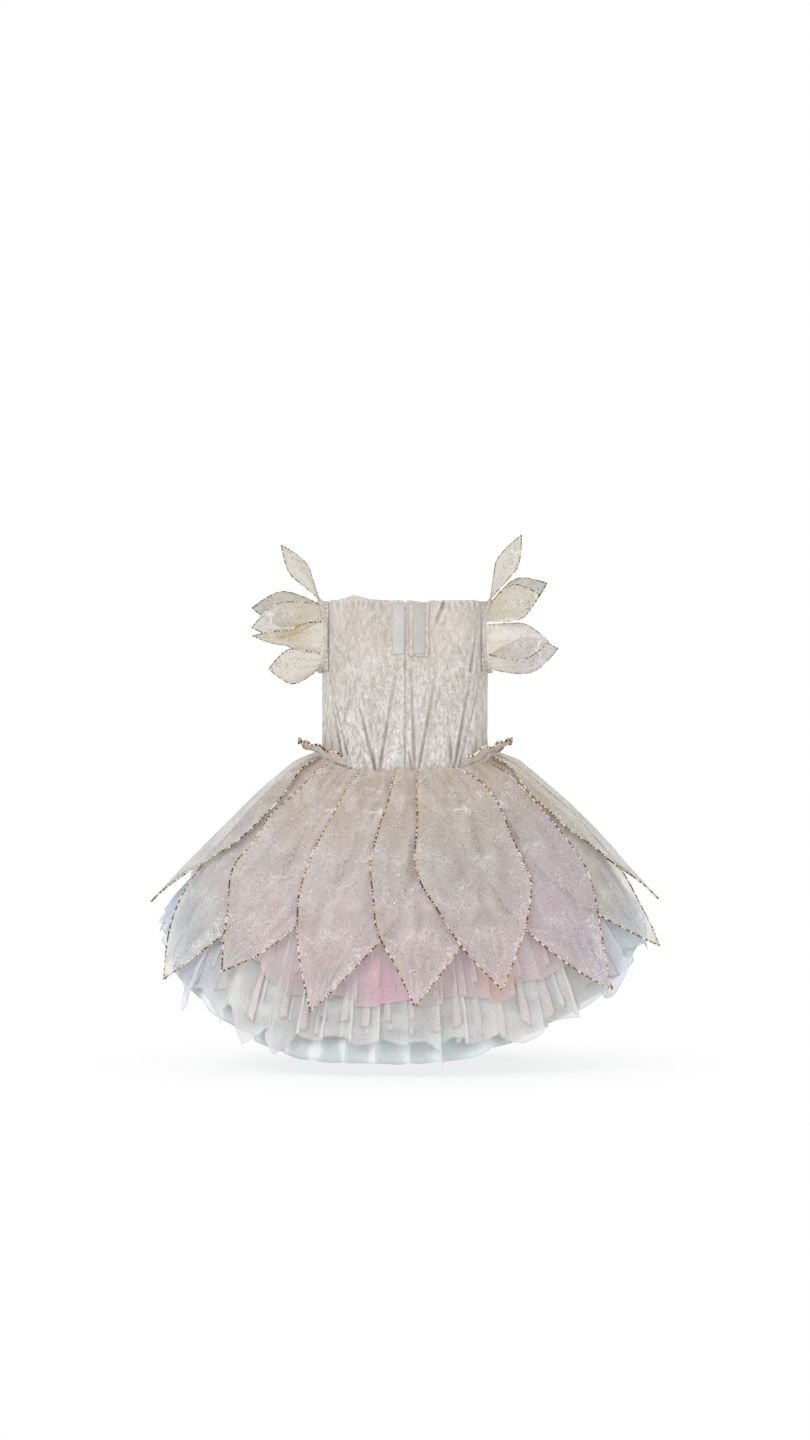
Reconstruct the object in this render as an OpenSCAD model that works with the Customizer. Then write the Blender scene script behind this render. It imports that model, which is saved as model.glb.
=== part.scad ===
// Child's fairy costume dress, held open as if worn, with its back towards -Y.
// Lengths are in millimetres. +Z is up and the wearer faces +Y. The origin is the
// centre of the waist. The wings are a separate accessory that fastens to the back.

/* [Bodice] */
// Width of the bodice from side to side
bodice_w = 264; // [220:2:310]
// Depth of the bodice from front to back
bodice_d = 100; // [84:2:130]
// Height of the neckline above the waist
neck_z = 262; // [230:2:310]
// Height of the underarm above the waist
underarm_z = 150; // [125:2:178]
// Front to back width of each armhole
armhole_d = 60; // [50:2:70]
// Thickness of the crushed velvet
velvet_t = 1.6; // [1:0.1:2.5]
// Thickness of the bodice lining
lining_t = 0.8; // [0.5:0.1:1.2]
// Where the side-back seam meets the waist, measured from centre back
seam_waist = 86; // [70:2:100]

/* [Waist] */
// How far the waist seam dips at centre back and centre front
waist_dip = 10; // [0:1:20]
// How far the waist seam rises at the sides
waist_rise = 16; // [0:1:24]
// Height of the waist stay tape
stay_h = 18; // [12:1:25]
// Height of the neck elastic
elastic_h = 8; // [5:1:10]
// Thickness of the tape and the elastic
tape_t = 1; // [0.6:0.1:1.4]

/* [Back closure] */
// Length of the opening below the back neckline
slit_h = 88; // [70:2:100]
// Width of the opening at the neckline
slit_w = 5; // [2:1:8]
// Width of the hook and loop tapes
hook_w = 19; // [16:1:22]
// Length of the hook and loop tapes
hook_h = 80; // [60:2:84]
// Thickness of the hook and loop tapes
hook_t = 1.4; // [1:0.1:2]
// Distance of the flap's fold from centre back
fold_x = 6; // [5:0.5:9]
// Thickness of the flap
flap_t = 1.2; // [0.8:0.1:1.6]

/* [Skirt shape] */
// Slope of the skirt from vertical at centre back
back_slope = 24; // [15:1:32]
// Slope of the skirt from vertical at the sides
side_slope = 44; // [34:1:52]
// How much the skirt puffs out below the waist, in degrees
puff = 8; // [2:1:12]
// Length of the satin underskirt at centre back
satin_l = 488; // [420:4:600]
// Length of the white net, without its points
white_l = 446; // [380:5:560]
// Length of the white net's points
point_l = 76; // [20:2:90]
// Length of the pink net
pink_l = 425; // [340:5:520]
// How much shorter each layer is at the sides
side_short = 112; // [60:2:140]
// Thickness of the net and satin layers
layer_t = 1; // [0.6:0.1:1.4]
// Spacing of the skirt layers
layer_gap = 4; // [3:0.5:6]

/* [Petals] */
// Width of a skirt petal at its widest
petal_w = 150; // [110:2:164]
// Thickness of the organza
organza_t = 0.8; // [0.5:0.1:1]
// Diameter of the gold cord
cord_d = 2.8; // [2:0.2:3.6]
// Spacing between overlapping petals
petal_gap = 4; // [3.4:0.2:5]
// How far a petal's tip curls away from the skirt
tip_curl = 7; // [0:1:12]
// Width of the folded top of each side petal
hip_w = 34; // [24:1:40]

/* [Sleeves] */
// Width of a sleeve petal
sleeve_petal_w = 58; // [40:2:72]
// Diameter of the elastic sleeve band
band_d = 7; // [5:0.5:9]

/* [Hidden] */
// name, place round the waist in quarter turns from centre back, lean of the tip in
// millimetres round the waist, length, and layer: a higher layer lies over a lower one
PETALS = [
    ["back",      0.12,  -14, 402, 3],
    ["left_1",    -0.2,  -20, 412, 2],
    ["left_2",   -0.50,  -21, 384, 1],
    ["left_3",   -0.76,    0, 436, 0],
    ["left_4",      -1,    0, 356, 2],
    ["right_1",   0.30,    5, 382, 4],
    ["right_2",   0.55,   19, 424, 2],
    ["right_3",   0.78,   11, 406, 1],
    ["right_4",      1,    0, 352, 3],
    ["front_1",   1.33,  -14, 400, 1],
    ["front_2",   1.67,   -8, 400, 2],
    ["front_3",      2,    0, 400, 3],
    ["front_4",  -1.67,    8, 400, 2],
    ["front_5",  -1.33,   14, 400, 1],
];
// name, place round the armhole in degrees from the top towards the back, angle
// between the petal and the arm's direction, length, cupping and twist
SLEEVE_PETALS = [
    ["right_1",    0,  66, 112, 5,  36],
    ["right_2",   52,  29,  88, 8,  28],
    ["right_3",   96,   4,  98, 8,  -6],
    ["right_4",  140, -16, 114, 7, -40],
    ["right_5",  310,  38, 118, 8, -28],
    ["left_1",     0,  57, 104, 5,  32],
    ["left_2",    48, -18, 118, 8,  30],
    ["left_3",    92,   8, 112, 6,  66],
    ["left_4",   136,  10,  82, 6, -30],
    ["left_5",   314,   4, 110, 8, -30],
];

seam_gap = 0.4;        // between panels that are sewn edge to edge
ply_gap = 0.5;         // between fabric layers that lie on each other
end_r = bodice_d / 2;                       // round ends of the oval waist
flat_l = bodice_w / 2 - end_r;              // half of its flat back
quarter = flat_l + end_r * PI / 2;          // a quarter of the way round it
armhole_g = flat_l + end_r * acos(armhole_d / 2 / end_r) * PI / 180;
panel_rows = [2, 1.6, 1 + (neck_z - slit_h - underarm_z) / (neck_z - underarm_z),
              1, 0.8, 0.6, 0.4, 0.2, 0];
underarm_rows = [for (f = panel_rows) if (f <= 1) f];
puff_l = 400;          // length over which the skirt's slope straightens
puff_share = 0.42;     // share of a layer's offset that it has at the waist
puff_rise = 44;        // length over which it reaches its full offset
skirt_top = 3;         // skirt layers start this far below the waist seam
pink_off = 2 * layer_gap;
petal_off = pink_off + 5;
skirt_cols = 48;
gores = 12;
petal_rows = 9;
petal_cols = 6;
leaf_peak = 0.56;      // place of a petal's widest point, as a share of its length
leaf_top = 0.4;        // width at the waist, as a share of the widest
sleeve_top = 0.74;     // width of a sleeve petal where it joins the band
sleeve_arc = 20;       // half of a sleeve petal's join to the band, in degrees round it
leaf_tip = 0.025;      // width at the tip, so that the solid has no zero edge
lilac = [0.93, 0.86, 0.88];
ivory = [0.92, 0.89, 0.84];
gold = [0.78, 0.66, 0.36];

// ---- helpers ----

function lerp(a, b, t) = a + (b - a) * t;
function unit(v) = v / norm(v);
function flat(rows) = [for (r = rows) each r];

// A closed solid between two grids of points. Rows run downwards and columns run
// anticlockwise seen from above; a closed grid joins its last column to its first.
module slab(outer, inner, closed = false) {
    n_rows = len(outer);
    n_cols = len(outer[0]);
    last = closed ? n_cols - 1 : n_cols - 2;
    function o(i, j) = i * n_cols + j % n_cols;
    function n(i, j) = n_rows * n_cols + o(i, j);
    function quad(a, b, c, d) = [[a, b, c], [a, c, d]];
    faces = [
        for (i = [0 : n_rows - 2], j = [0 : last])
            each concat(quad(o(i, j), o(i, j + 1), o(i + 1, j + 1), o(i + 1, j)),
                        quad(n(i, j), n(i + 1, j), n(i + 1, j + 1), n(i, j + 1))),
        for (j = [0 : last])
            each concat(quad(n(0, j), n(0, j + 1), o(0, j + 1), o(0, j)),
                        quad(o(n_rows - 1, j), o(n_rows - 1, j + 1),
                             n(n_rows - 1, j + 1), n(n_rows - 1, j))),
        if (!closed) for (i = [0 : n_rows - 2])
            each concat(quad(n(i, 0), o(i, 0), o(i + 1, 0), n(i + 1, 0)),
                        quad(o(i, n_cols - 1), n(i, n_cols - 1),
                             n(i + 1, n_cols - 1), o(i + 1, n_cols - 1))),
    ];
    polyhedron(concat(flat(outer), flat(inner)), faces);
}

// A round tube along points. The tube of a closed path joins up with itself.
module tube(path, r, sides = 6, closed = false) {
    n = len(path);
    function at(i) = path[closed ? (i + n) % n : min(max(i, 0), n - 1)];
    function ring(i) =
        let (t = unit(at(i + 1) - at(i - 1)),
             a = unit(cross(t, abs(t.z) < 0.9 ? [0, 0, 1] : [1, 0, 0])),
             b = cross(t, a))
        [for (j = [0 : sides - 1]) let (w = 360 * j / sides)
            path[i] + r * (cos(w) * a + sin(w) * b)];
    function id(i, j) = (i % n) * sides + j % sides;
    sides_faces = [for (i = [0 : closed ? n - 1 : n - 2], j = [0 : sides - 1])
        each [[id(i, j), id(i + 1, j), id(i + 1, j + 1)],
              [id(i, j), id(i + 1, j + 1), id(i, j + 1)]]];
    caps = closed ? [] : [[for (j = [0 : sides - 1]) id(0, j)],
                          [for (j = [sides - 1 : -1 : 0]) id(n - 1, j)]];
    polyhedron(flat([for (i = [0 : n - 1]) ring(i)]), concat(sides_faces, caps));
}

// ---- the waist oval and the bodice ----

// A point of the oval, grown outwards by off. g is the distance round the waist from
// centre back, positive towards +X, and g of 2 quarters is centre front.
function oval(g, off = 0) =
    let (w = g > 2 * quarter ? g - 4 * quarter : g,
         side = w < 0 ? -1 : 1,
         front = abs(w) > quarter,
         h = front ? 2 * quarter - abs(w) : abs(w),
         turn = max(0, h - flat_l) / end_r * 180 / PI,
         x = min(h, flat_l) + (end_r + off) * sin(turn),
         y = (end_r + off) * cos(turn))
    [side * x, front ? y : -y];
function bearing(g) = 90 * g / quarter;      // direction that the skirt spreads in
function side_share(g) = pow(abs(sin(bearing(g))), 6);
function waist_z(g) = lerp(-waist_dip, waist_rise, side_share(g));
// Row f of a panel runs from 0 at the waist to 1 at the underarm and 2 at the neck.
function row_z(g, f) = f <= 1 ? lerp(waist_z(g), underarm_z, f)
                              : lerp(underarm_z, neck_z, f - 1);
function seam_g(f) = f >= 1 ? armhole_g : lerp(seam_waist, armhole_g, f);
function slit_g(f) =
    seam_gap / 2 + max(0, row_z(0, f) - (neck_z - slit_h)) / slit_h * slit_w / 2;
function bodice_pt(g, f, off) = let (p = oval(g, off)) [p.x, p.y, row_z(g, f)];

module panel(edge_a, edge_b, rows, cols, off, t) {
    grid = function(o) [for (f = rows) [for (j = [0 : cols])
        bodice_pt(lerp(edge_a(f), edge_b(f), j / cols), f, o)]];
    slab(grid(off), grid(off - t));
}

module back_panel(side, off, t) {
    inner = function(f) slit_g(f);
    outer = function(f) seam_g(f) - seam_gap / 2;
    if (side > 0) panel(inner, outer, panel_rows, 12, off, t);
    else panel(function(f) -outer(f), function(f) -inner(f), panel_rows, 12, off, t);
}

module side_panel(side, off, t) {
    back = function(f) seam_g(f) + seam_gap / 2;
    front = function(f) 2 * quarter - seam_g(f) - seam_gap / 2;
    if (side > 0) panel(back, front, underarm_rows, 16, off, t);
    else panel(function(f) -front(f), function(f) -back(f), underarm_rows, 16, off, t);
}

module front_panel(off, t) {
    panel(function(f) 2 * quarter - seam_g(f) + seam_gap / 2,
          function(f) 2 * quarter + seam_g(f) - seam_gap / 2,
          panel_rows, 24, off, t);
}

module bodice_lining() {
    off = -velvet_t - ply_gap;
    color("white") {
        front_panel(off, lining_t);
        for (side = [-1, 1]) {
            back_panel(side, off, lining_t);
            side_panel(side, off, lining_t);
        }
    }
}

// A band of elastic or tape inside the lining, between two heights above the seam.
module inner_band(g0, g1, low, high, cols, closed = false) {
    off = -velvet_t - lining_t - 2 * ply_gap;
    grid = function(o) [for (z = [high, low]) [for (j = [0 : cols - (closed ? 1 : 0)])
        let (g = lerp(g0, g1, j / cols), p = oval(g, o))
        [p.x, p.y, z + (closed ? waist_z(g) : 0)]]];
    slab(grid(off), grid(off - tape_t), closed);
}

module neck_elastic() {
    top = neck_z - 2;
    reach = armhole_g - 2;
    color("white") {
        inner_band(2 * quarter - reach, 2 * quarter + reach, top - elastic_h, top, 24);
        inner_band(slit_w, reach, top - elastic_h, top, 12);
        inner_band(-reach, -slit_w, top - elastic_h, top, 12);
    }
}

module waist_stay() {
    color("ivory") inner_band(-2 * quarter, 2 * quarter, 2, 2 + stay_h, 64, closed = true);
}

// ---- the back closure ----

hook_top = neck_z - 6;
flap_edge = 1;          // the flap starts this far from its fold line
flap_margin = 3;        // velvet that shows round the hook tape
flap_gap = 0.4;         // between the folded-back flap and the bodice
flap_y = -end_r - flap_gap;
fold_y = -end_r - (flap_gap + flap_t + 2 * hook_t + 0.4) / 2;
flap_w = 31;
hook_x = fold_x + flap_edge + (flap_w - hook_w) / 2;

module loop_tape() {
    color("lightgray")
    translate([2 * fold_x - hook_x - hook_w, -end_r - hook_t, hook_top - hook_h])
        cube([hook_w, hook_t, hook_h]);
}

module placket_flap() {
    color(ivory)
    translate([fold_x + flap_edge, flap_y - flap_t, hook_top - hook_h - flap_margin])
        cube([flap_w, flap_t, hook_h + 2 * flap_margin]);
}

module hook_tape() {
    color("gray")
    translate([hook_x, flap_y - flap_t - hook_t, hook_top - hook_h])
        cube([hook_w, hook_t, hook_h]);
}

// ---- the skirt ----

function slope(g) = lerp(back_slope, side_slope, side_share(g));
function slope_at(g, s) = slope(g) + puff * (1 - 2 * s / puff_l);
function reach(g, s) = puff_l / 2 / puff * 180 / PI
    * (cos(slope_at(g, s)) - cos(slope_at(g, 0)));
function drop(g, s) = puff_l / 2 / puff * 180 / PI
    * (sin(slope_at(g, 0)) - sin(slope_at(g, s)));
// Layers lie close together at the waist, where they are gathered.
function gathered(off, s) = off * lerp(puff_share, 1, min(1, s / puff_rise));
// A point of the skirt, s below the waist seam and off outwards from the underskirt.
function skirt_pt(g, s, off) =
    let (w = oval(g), b = bearing(g), r = reach(g, s),
         a = min(slope_at(g, s), 60), d = gathered(off, s))
    [w.x + (r + d * cos(a)) * sin(b),
     w.y - (r + d * cos(a)) * cos(b),
     waist_z(g) - drop(g, s) + d * sin(a)];
// How much wider the skirt is than the waist, s below it.
function spread(g, s) = norm(skirt_pt(g + 2, s, 0) - skirt_pt(g - 2, s, 0)) / 4;

// A layer of gores sewn edge to edge. hem(j, g) is its length at column j.
module skirt_layer(off, hem, rows = 7) {
    per = skirt_cols / gores;
    place = function(j) 4 * quarter * j / skirt_cols - 2 * quarter;
    for (k = [0 : gores - 1]) {
        point = function(i, j, o)
            let (g = place(k * per + j),
                 s = lerp(skirt_top, hem(k * per + j, g), i / rows),
                 inset = (j == 0 ? 1 : j == per ? -1 : 0) * seam_gap / 2 / spread(g, s))
            skirt_pt(g + inset, s, o);
        grid = function(o) [for (i = [0 : rows]) [for (j = [0 : per]) point(i, j, o)]];
        slab(grid(off + layer_t), grid(off));
    }
}

module satin_underskirt() {
    color("white") skirt_layer(0, function(j, g) satin_l - side_short * side_share(g));
}

module white_net() {
    color([0.93, 0.95, 0.97]) skirt_layer(layer_gap, function(j, g)
        white_l + (j % 2) * point_l * (0.7 + 0.3 * cos(150 * j))
        - side_short * side_share(g));
}

module pink_net() {
    color([0.97, 0.83, 0.87]) skirt_layer(pink_off, function(j, g)
        pink_l + (j % 2) * 16 - side_short * side_share(g));
}

// Width of a leaf at t, from 0 at its base to 1 at its tip, as a share of its widest.
function leaf(t, base) = t < leaf_peak
    ? lerp(base, 1, sin(90 * t / leaf_peak))
    : max(leaf_tip, 1 - pow((t - leaf_peak) / (1 - leaf_peak), 1.5));

function petal_pt(p, u, t, off) =
    let (s = lerp(skirt_top, p[3], t),
         g = p[1] * quarter + p[2] * t * t,
         w = petal_w / 2 * leaf(t, leaf_top) / spread(g, s),
         d = petal_off + p[4] * petal_gap + tip_curl * t * t * min(1, s / puff_rise))
    skirt_pt(g + u * w, s, d + off);

module petal(p) {
    grid = function(off) [for (i = [0 : petal_rows]) [for (j = [0 : petal_cols])
        petal_pt(p, 2 * j / petal_cols - 1, i / petal_rows, off)]];
    color(lilac) slab(grid(organza_t), grid(0));
}

// The gold cord runs down one edge of a petal, round its tip and up the other edge.
module petal_cord(p) {
    edge = function(u) [for (i = [1 : petal_rows])
        petal_pt(p, u, i / petal_rows, organza_t / 2)];
    left = edge(-1);
    right = edge(1);
    n = petal_rows - 1;
    tip = petal_pt(p, 0, 1 + 1 / p[3], organza_t / 2);
    path = concat([for (i = [0 : n - 1]) left[i]], [tip], [for (i = [n - 1 : -1 : 0]) right[i]]);
    color(gold) tube(path, cord_d / 2);
}

// The top of a side petal, folded out over the waist seam.
module hip_fold(p) {
    g = p[1] * quarter;
    side = sign(p[1]);
    d = petal_off + p[4] * petal_gap;
    grid = function(off) [for (i = [0 : 3]) [for (j = [0 : 6])
        let (u = 2 * j / 6 - 1, base = skirt_pt(g + u * 34, skirt_top, d),
             out = hip_w * (i / 3) * (1 - 0.5 * u * u))
        base + [side * (out + 1.5), 0, 1.2 + off + out * 0.12]]];
    rows = grid(organza_t);
    low = grid(0);
    color(lilac) slab([for (r = [3 : -1 : 0]) low[r]], [for (r = [3 : -1 : 0]) rows[r]]);
}

// ---- the sleeves ----

band_z = (neck_z + underarm_z) / 2;
band_h = (neck_z - underarm_z) / 2;

// The middle of the band at angle w from its top towards the back. It lies against
// the bodice, so it bends round the side as the armhole does.
function band_pt(side, w) =
    let (y = -armhole_d / 2 * sign(sin(w)) * pow(abs(sin(w)), 0.8),
         z = band_z + band_h * sign(cos(w)) * pow(abs(cos(w)), 0.8))
    [side * (flat_l + sqrt(end_r * end_r - y * y) + band_d / 2 + 0.5), y, z];

module sleeve_band(side) {
    path = [for (i = [0 : 27]) band_pt(side, side * 360 * i / 28)];
    color(ivory) tube(path, band_d / 2, 8, closed = true);
}

function sleeve_side(p) = p[0][0] == "r" ? 1 : -1;
// Point of a sleeve petal, whose base sits just outside the band.
function sleeve_pt(p, u, t, off) =
    let (side = sleeve_side(p),
         radial = [0, -sin(p[1]), cos(p[1])],
         seam = [0, -cos(p[1]), -sin(p[1])],
         along = cos(p[2]) * [side, 0, 0] + sin(p[2]) * radial,
         face = side * cross(seam, along),
         twist = p[5] * min(1, 2 * t),
         across = cos(twist) * seam - sin(twist) * face,
         up = side * cross(across, along),
         sewn = band_pt(side, p[1]),
         base = sewn + (band_d / 2 + 1.2) * along,
         follow = band_pt(side, p[1] + u * sleeve_arc) - sewn
             - u * sleeve_petal_w / 2 * sleeve_top * seam,
         lift = p[4] * (sin(180 * t) * (1 - u * u) - 0.8 * t * t),
         w = sleeve_petal_w / 2 * leaf(t, sleeve_top))
    base + p[3] * t * along + u * w * across + (lift + off) * up + pow(1 - t, 3) * follow;

module sleeve_petal(p) {
    side = sleeve_side(p);
    grid = function(off) [for (i = [0 : 6]) [for (j = [0 : 4])
        sleeve_pt(p, side * (2 * j / 4 - 1), i / 6, off)]];
    color(lilac) slab(grid(0), grid(organza_t));
}

// ---- the nodes ----

color(ivory) front_panel(0, velvet_t);  // bodice_front
color(ivory) side_panel(-1, 0, velvet_t);  // bodice_side_left
color(ivory) side_panel(1, 0, velvet_t);  // bodice_side_right
color(ivory) back_panel(-1, 0, velvet_t);  // bodice_back_left
color(ivory) back_panel(1, 0, velvet_t);  // bodice_back_right
bodice_lining();
neck_elastic();
waist_stay();
loop_tape();
placket_flap();
hook_tape();
sleeve_band(-1);  // sleeve_band_left
sleeve_band(1);  // sleeve_band_right
satin_underskirt();
white_net();
pink_net();
hip_fold(PETALS[4]);  // hip_fold_left
hip_fold(PETALS[8]);  // hip_fold_right
for (p = PETALS) {
    petal(p);
    petal_cord(p);
}
for (p = SLEEVE_PETALS)
    sleeve_petal(p);
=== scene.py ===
"""Looks of a child's fairy costume dress: crushed velvet bodice, organza petals, net skirt.

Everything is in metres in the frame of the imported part. x runs to the wearer's right seen from
behind, -y is the back and z is up, with 0 near the waist seam. Fabric is laid out on grids whose
rows run down and whose columns run anticlockwise seen from above. g is the distance round the
waist from centre back, and s is the distance down the skirt from the waist seam.
"""
import logging
import math
from dataclasses import dataclass, field, replace
from enum import Enum
from typing import Callable

import bmesh
import bpy
import numpy as np
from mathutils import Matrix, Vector


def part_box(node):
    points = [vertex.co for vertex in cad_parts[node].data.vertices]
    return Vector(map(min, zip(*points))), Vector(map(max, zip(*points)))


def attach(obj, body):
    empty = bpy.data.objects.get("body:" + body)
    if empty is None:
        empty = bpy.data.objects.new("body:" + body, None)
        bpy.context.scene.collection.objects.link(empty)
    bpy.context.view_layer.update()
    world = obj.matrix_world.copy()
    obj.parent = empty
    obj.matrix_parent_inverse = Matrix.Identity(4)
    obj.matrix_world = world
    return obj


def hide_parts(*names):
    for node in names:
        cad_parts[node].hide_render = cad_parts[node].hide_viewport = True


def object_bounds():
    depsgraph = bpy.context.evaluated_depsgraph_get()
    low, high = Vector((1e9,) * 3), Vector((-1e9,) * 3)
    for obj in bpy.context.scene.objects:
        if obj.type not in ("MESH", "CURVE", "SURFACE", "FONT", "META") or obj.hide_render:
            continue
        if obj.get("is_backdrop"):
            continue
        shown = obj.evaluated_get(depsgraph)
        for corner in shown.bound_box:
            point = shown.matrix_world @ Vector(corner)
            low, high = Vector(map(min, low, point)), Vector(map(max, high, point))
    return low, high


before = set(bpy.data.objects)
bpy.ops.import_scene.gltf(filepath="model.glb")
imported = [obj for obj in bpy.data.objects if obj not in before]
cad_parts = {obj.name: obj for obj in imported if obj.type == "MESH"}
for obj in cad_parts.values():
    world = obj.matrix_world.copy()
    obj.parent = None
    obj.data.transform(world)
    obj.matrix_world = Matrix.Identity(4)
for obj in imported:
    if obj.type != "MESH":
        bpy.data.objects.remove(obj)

log = logging.getLogger("fairy_dress")
MM = 0.001
Grid = np.ndarray
Colour = tuple[float, float, float, float]


def srgb(red: int, green: int, blue: int) -> Colour:
    """A shader colour from the usual 0 to 255 values."""
    def channel(value: int) -> float:
        c = value / 255
        return c / 12.92 if c <= 0.04045 else ((c + 0.055) / 1.055) ** 2.4
    return channel(red), channel(green), channel(blue), 1.0


def lerp(a: float | Grid, b: float | Grid, t: float | Grid) -> float | Grid:
    """The value that is share t of the way from a to b."""
    return a + (b - a) * t


def smooth(low: float, high: float, value: float | Grid) -> Grid:
    """0 below low, 1 above high, and an even ramp between them."""
    t = np.clip((np.asarray(value) - low) / (high - low), 0, 1)
    return t * t * (3 - 2 * t)


def hollows(height: Grid, cells: int, depth: float) -> Grid:
    """How far each point lies under the cloth round it: 1 in a deep crease, -1 on a sharp ridge."""
    mean = height
    for axis in (0, 1):
        wide = [(cells, cells) if axis == side else (0, 0) for side in (0, 1)]
        padded, size = np.pad(mean, wide, mode="edge"), mean.shape[axis]
        shifted = [np.take(padded, range(k, k + size), axis) for k in range(2 * cells + 1)]
        mean = sum(shifted) / len(shifted)
    return np.clip((mean - height) / depth, -1, 1)


class Crumple:
    """Seeded soft folds: the same sum of waves each time, from about -1 to 1."""

    GAIN = 1.6  # brings the sum of the weighted waves out to about 1

    def __init__(self, seed: int, wave: tuple[float, float], count: int = 7) -> None:
        """Chooses the waves.

        Args:
            seed: Fixed seed of the waves.
            wave: Typical wavelength along the first and second coordinate.
            count: How many waves are added up.
        """
        rng = np.random.default_rng(seed)
        turn = rng.uniform(0, math.pi, count)
        size = rng.uniform(0.7, 1.5, count)
        self.kx = 2 * math.pi * np.cos(turn) / wave[0] * size
        self.ky = 2 * math.pi * np.sin(turn) / wave[1] * size
        self.phase = rng.uniform(0, 2 * math.pi, count)
        self.weight = 1 / size / (1 / size).sum()

    def __call__(self, x: Grid, y: Grid) -> Grid:
        """The fold height at x, y."""
        x, y = np.broadcast_arrays(np.asarray(x, float), np.asarray(y, float))
        waves = np.cos(x[..., None] * self.kx + y[..., None] * self.ky + self.phase)
        return self.GAIN * (waves * self.weight).sum(-1)


# ---- the cut of the dress ----


@dataclass(frozen=True)
class DressCut:
    """The driving sizes of the dress, and the surfaces that they give."""

    bodice_w: float
    bodice_d: float
    neck_z: float
    underarm_z: float
    armhole_d: float = 60 * MM
    seam_waist: float = 86 * MM
    waist_dip: float = 10 * MM
    waist_rise: float = 16 * MM
    slit_h: float = 88 * MM
    slit_w: float = 5 * MM
    back_slope: float = 24
    side_slope: float = 44
    puff: float = 8
    puff_l: float = 400 * MM
    puff_share: float = 0.42
    puff_rise: float = 44 * MM
    skirt_top: float = 3 * MM
    band_d: float = 7 * MM
    band_gap: float = 0.5 * MM
    side_power: float = 6
    band_power: float = 0.8

    @classmethod
    def from_frame(cls) -> "DressCut":
        """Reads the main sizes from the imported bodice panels."""
        back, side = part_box("bodice_back_right"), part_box("bodice_side_right")
        return cls(bodice_w=2 * side[1].x, bodice_d=-2 * back[0].y,
                   neck_z=back[1].z, underarm_z=side[1].z)

    @property
    def end_r(self) -> float:
        """Radius of the oval waist's round ends."""
        return self.bodice_d / 2

    @property
    def flat_l(self) -> float:
        """Half of the oval's flat back."""
        return self.bodice_w / 2 - self.end_r

    @property
    def quarter(self) -> float:
        """A quarter of the way round the waist."""
        return self.flat_l + self.end_r * math.pi / 2

    @property
    def armhole_g(self) -> float:
        """Place round the waist of the armhole's back edge."""
        return self.flat_l + self.end_r * math.acos(self.armhole_d / 2 / self.end_r)

    def wrapped(self, g: Grid) -> Grid:
        """The same place round the waist, within half a turn of centre back."""
        return (np.asarray(g, float) + 2 * self.quarter) % (4 * self.quarter) - 2 * self.quarter

    def oval(self, g: Grid, off: Grid | float = 0.0) -> tuple[Grid, Grid]:
        """x and y of the waist oval, grown outwards by off."""
        g = self.wrapped(g)
        front = np.abs(g) > self.quarter
        h = np.where(front, 2 * self.quarter - np.abs(g), np.abs(g))
        turn = np.maximum(0, h - self.flat_l) / self.end_r
        x = np.minimum(h, self.flat_l) + (self.end_r + off) * np.sin(turn)
        y = (self.end_r + off) * np.cos(turn)
        return np.where(g < 0, -x, x), np.where(front, y, -y)

    def bearing(self, g: Grid) -> Grid:
        """Direction that the skirt spreads in, in radians from straight back."""
        return self.wrapped(g) / self.quarter * math.pi / 2

    def at_bearing(self, degrees: float) -> float:
        """Place round the waist of a bearing."""
        return degrees / 90 * self.quarter

    def side_share(self, g: Grid) -> Grid:
        """1 at the sides, falling to 0 at the back and front."""
        return np.abs(np.sin(self.bearing(g))) ** self.side_power

    def waist_z(self, g: Grid) -> Grid:
        """Height of the waist seam, lower at the back and front than at the sides."""
        return -self.waist_dip + (self.waist_rise + self.waist_dip) * self.side_share(g)

    def seam_g(self, f: Grid) -> Grid:
        """Place of the side-back seam at row f, 0 at the waist and 1 at the underarm."""
        return lerp(self.seam_waist, self.armhole_g, np.minimum(f, 1))

    def bodice(self, g: Grid, f: Grid, off: Grid | float, lift: Grid | float = 0.0) -> Grid:
        """Points of the bodice at row f, where 1 is the underarm and 2 is the neck."""
        g, f = np.broadcast_arrays(g, f)
        low = lerp(self.waist_z(g), self.underarm_z, np.minimum(f, 1))
        z = low + (self.neck_z - self.underarm_z) * np.maximum(f - 1, 0)
        x, y = self.oval(g, off)
        return np.stack([x, y, z + lift], -1)

    def slope_at(self, g: Grid, s: Grid) -> Grid:
        """Slope of the skirt from the vertical, in radians."""
        base = lerp(self.back_slope, self.side_slope, self.side_share(g))
        return np.radians(base + self.puff * (1 - 2 * np.asarray(s) / self.puff_l))

    def skirt(self, g: Grid, s: Grid, off: Grid | float) -> Grid:
        """Points of the skirt, s below the waist seam and off outwards from the underskirt."""
        g, s, off = np.broadcast_arrays(g, s, off)
        radius = self.puff_l / 2 / math.radians(self.puff)
        top, here = self.slope_at(g, 0.0), self.slope_at(g, s)
        gathered = off * lerp(self.puff_share, 1, np.clip(s / self.puff_rise, 0, 1))
        out = radius * (np.cos(here) - np.cos(top)) + gathered * np.cos(here)
        down = radius * (np.sin(top) - np.sin(here)) - gathered * np.sin(here)
        x, y = self.oval(g)
        b = self.bearing(g)
        return np.stack([x + out * np.sin(b), y - out * np.cos(b), self.waist_z(g) - down], -1)

    def spread(self, g: Grid, s: Grid) -> Grid:
        """How much wider the skirt is than the waist, s below it."""
        step = 2 * MM
        return np.linalg.norm(self.skirt(g + step, s, 0) - self.skirt(g - step, s, 0),
                              axis=-1) / (2 * step)

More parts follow.
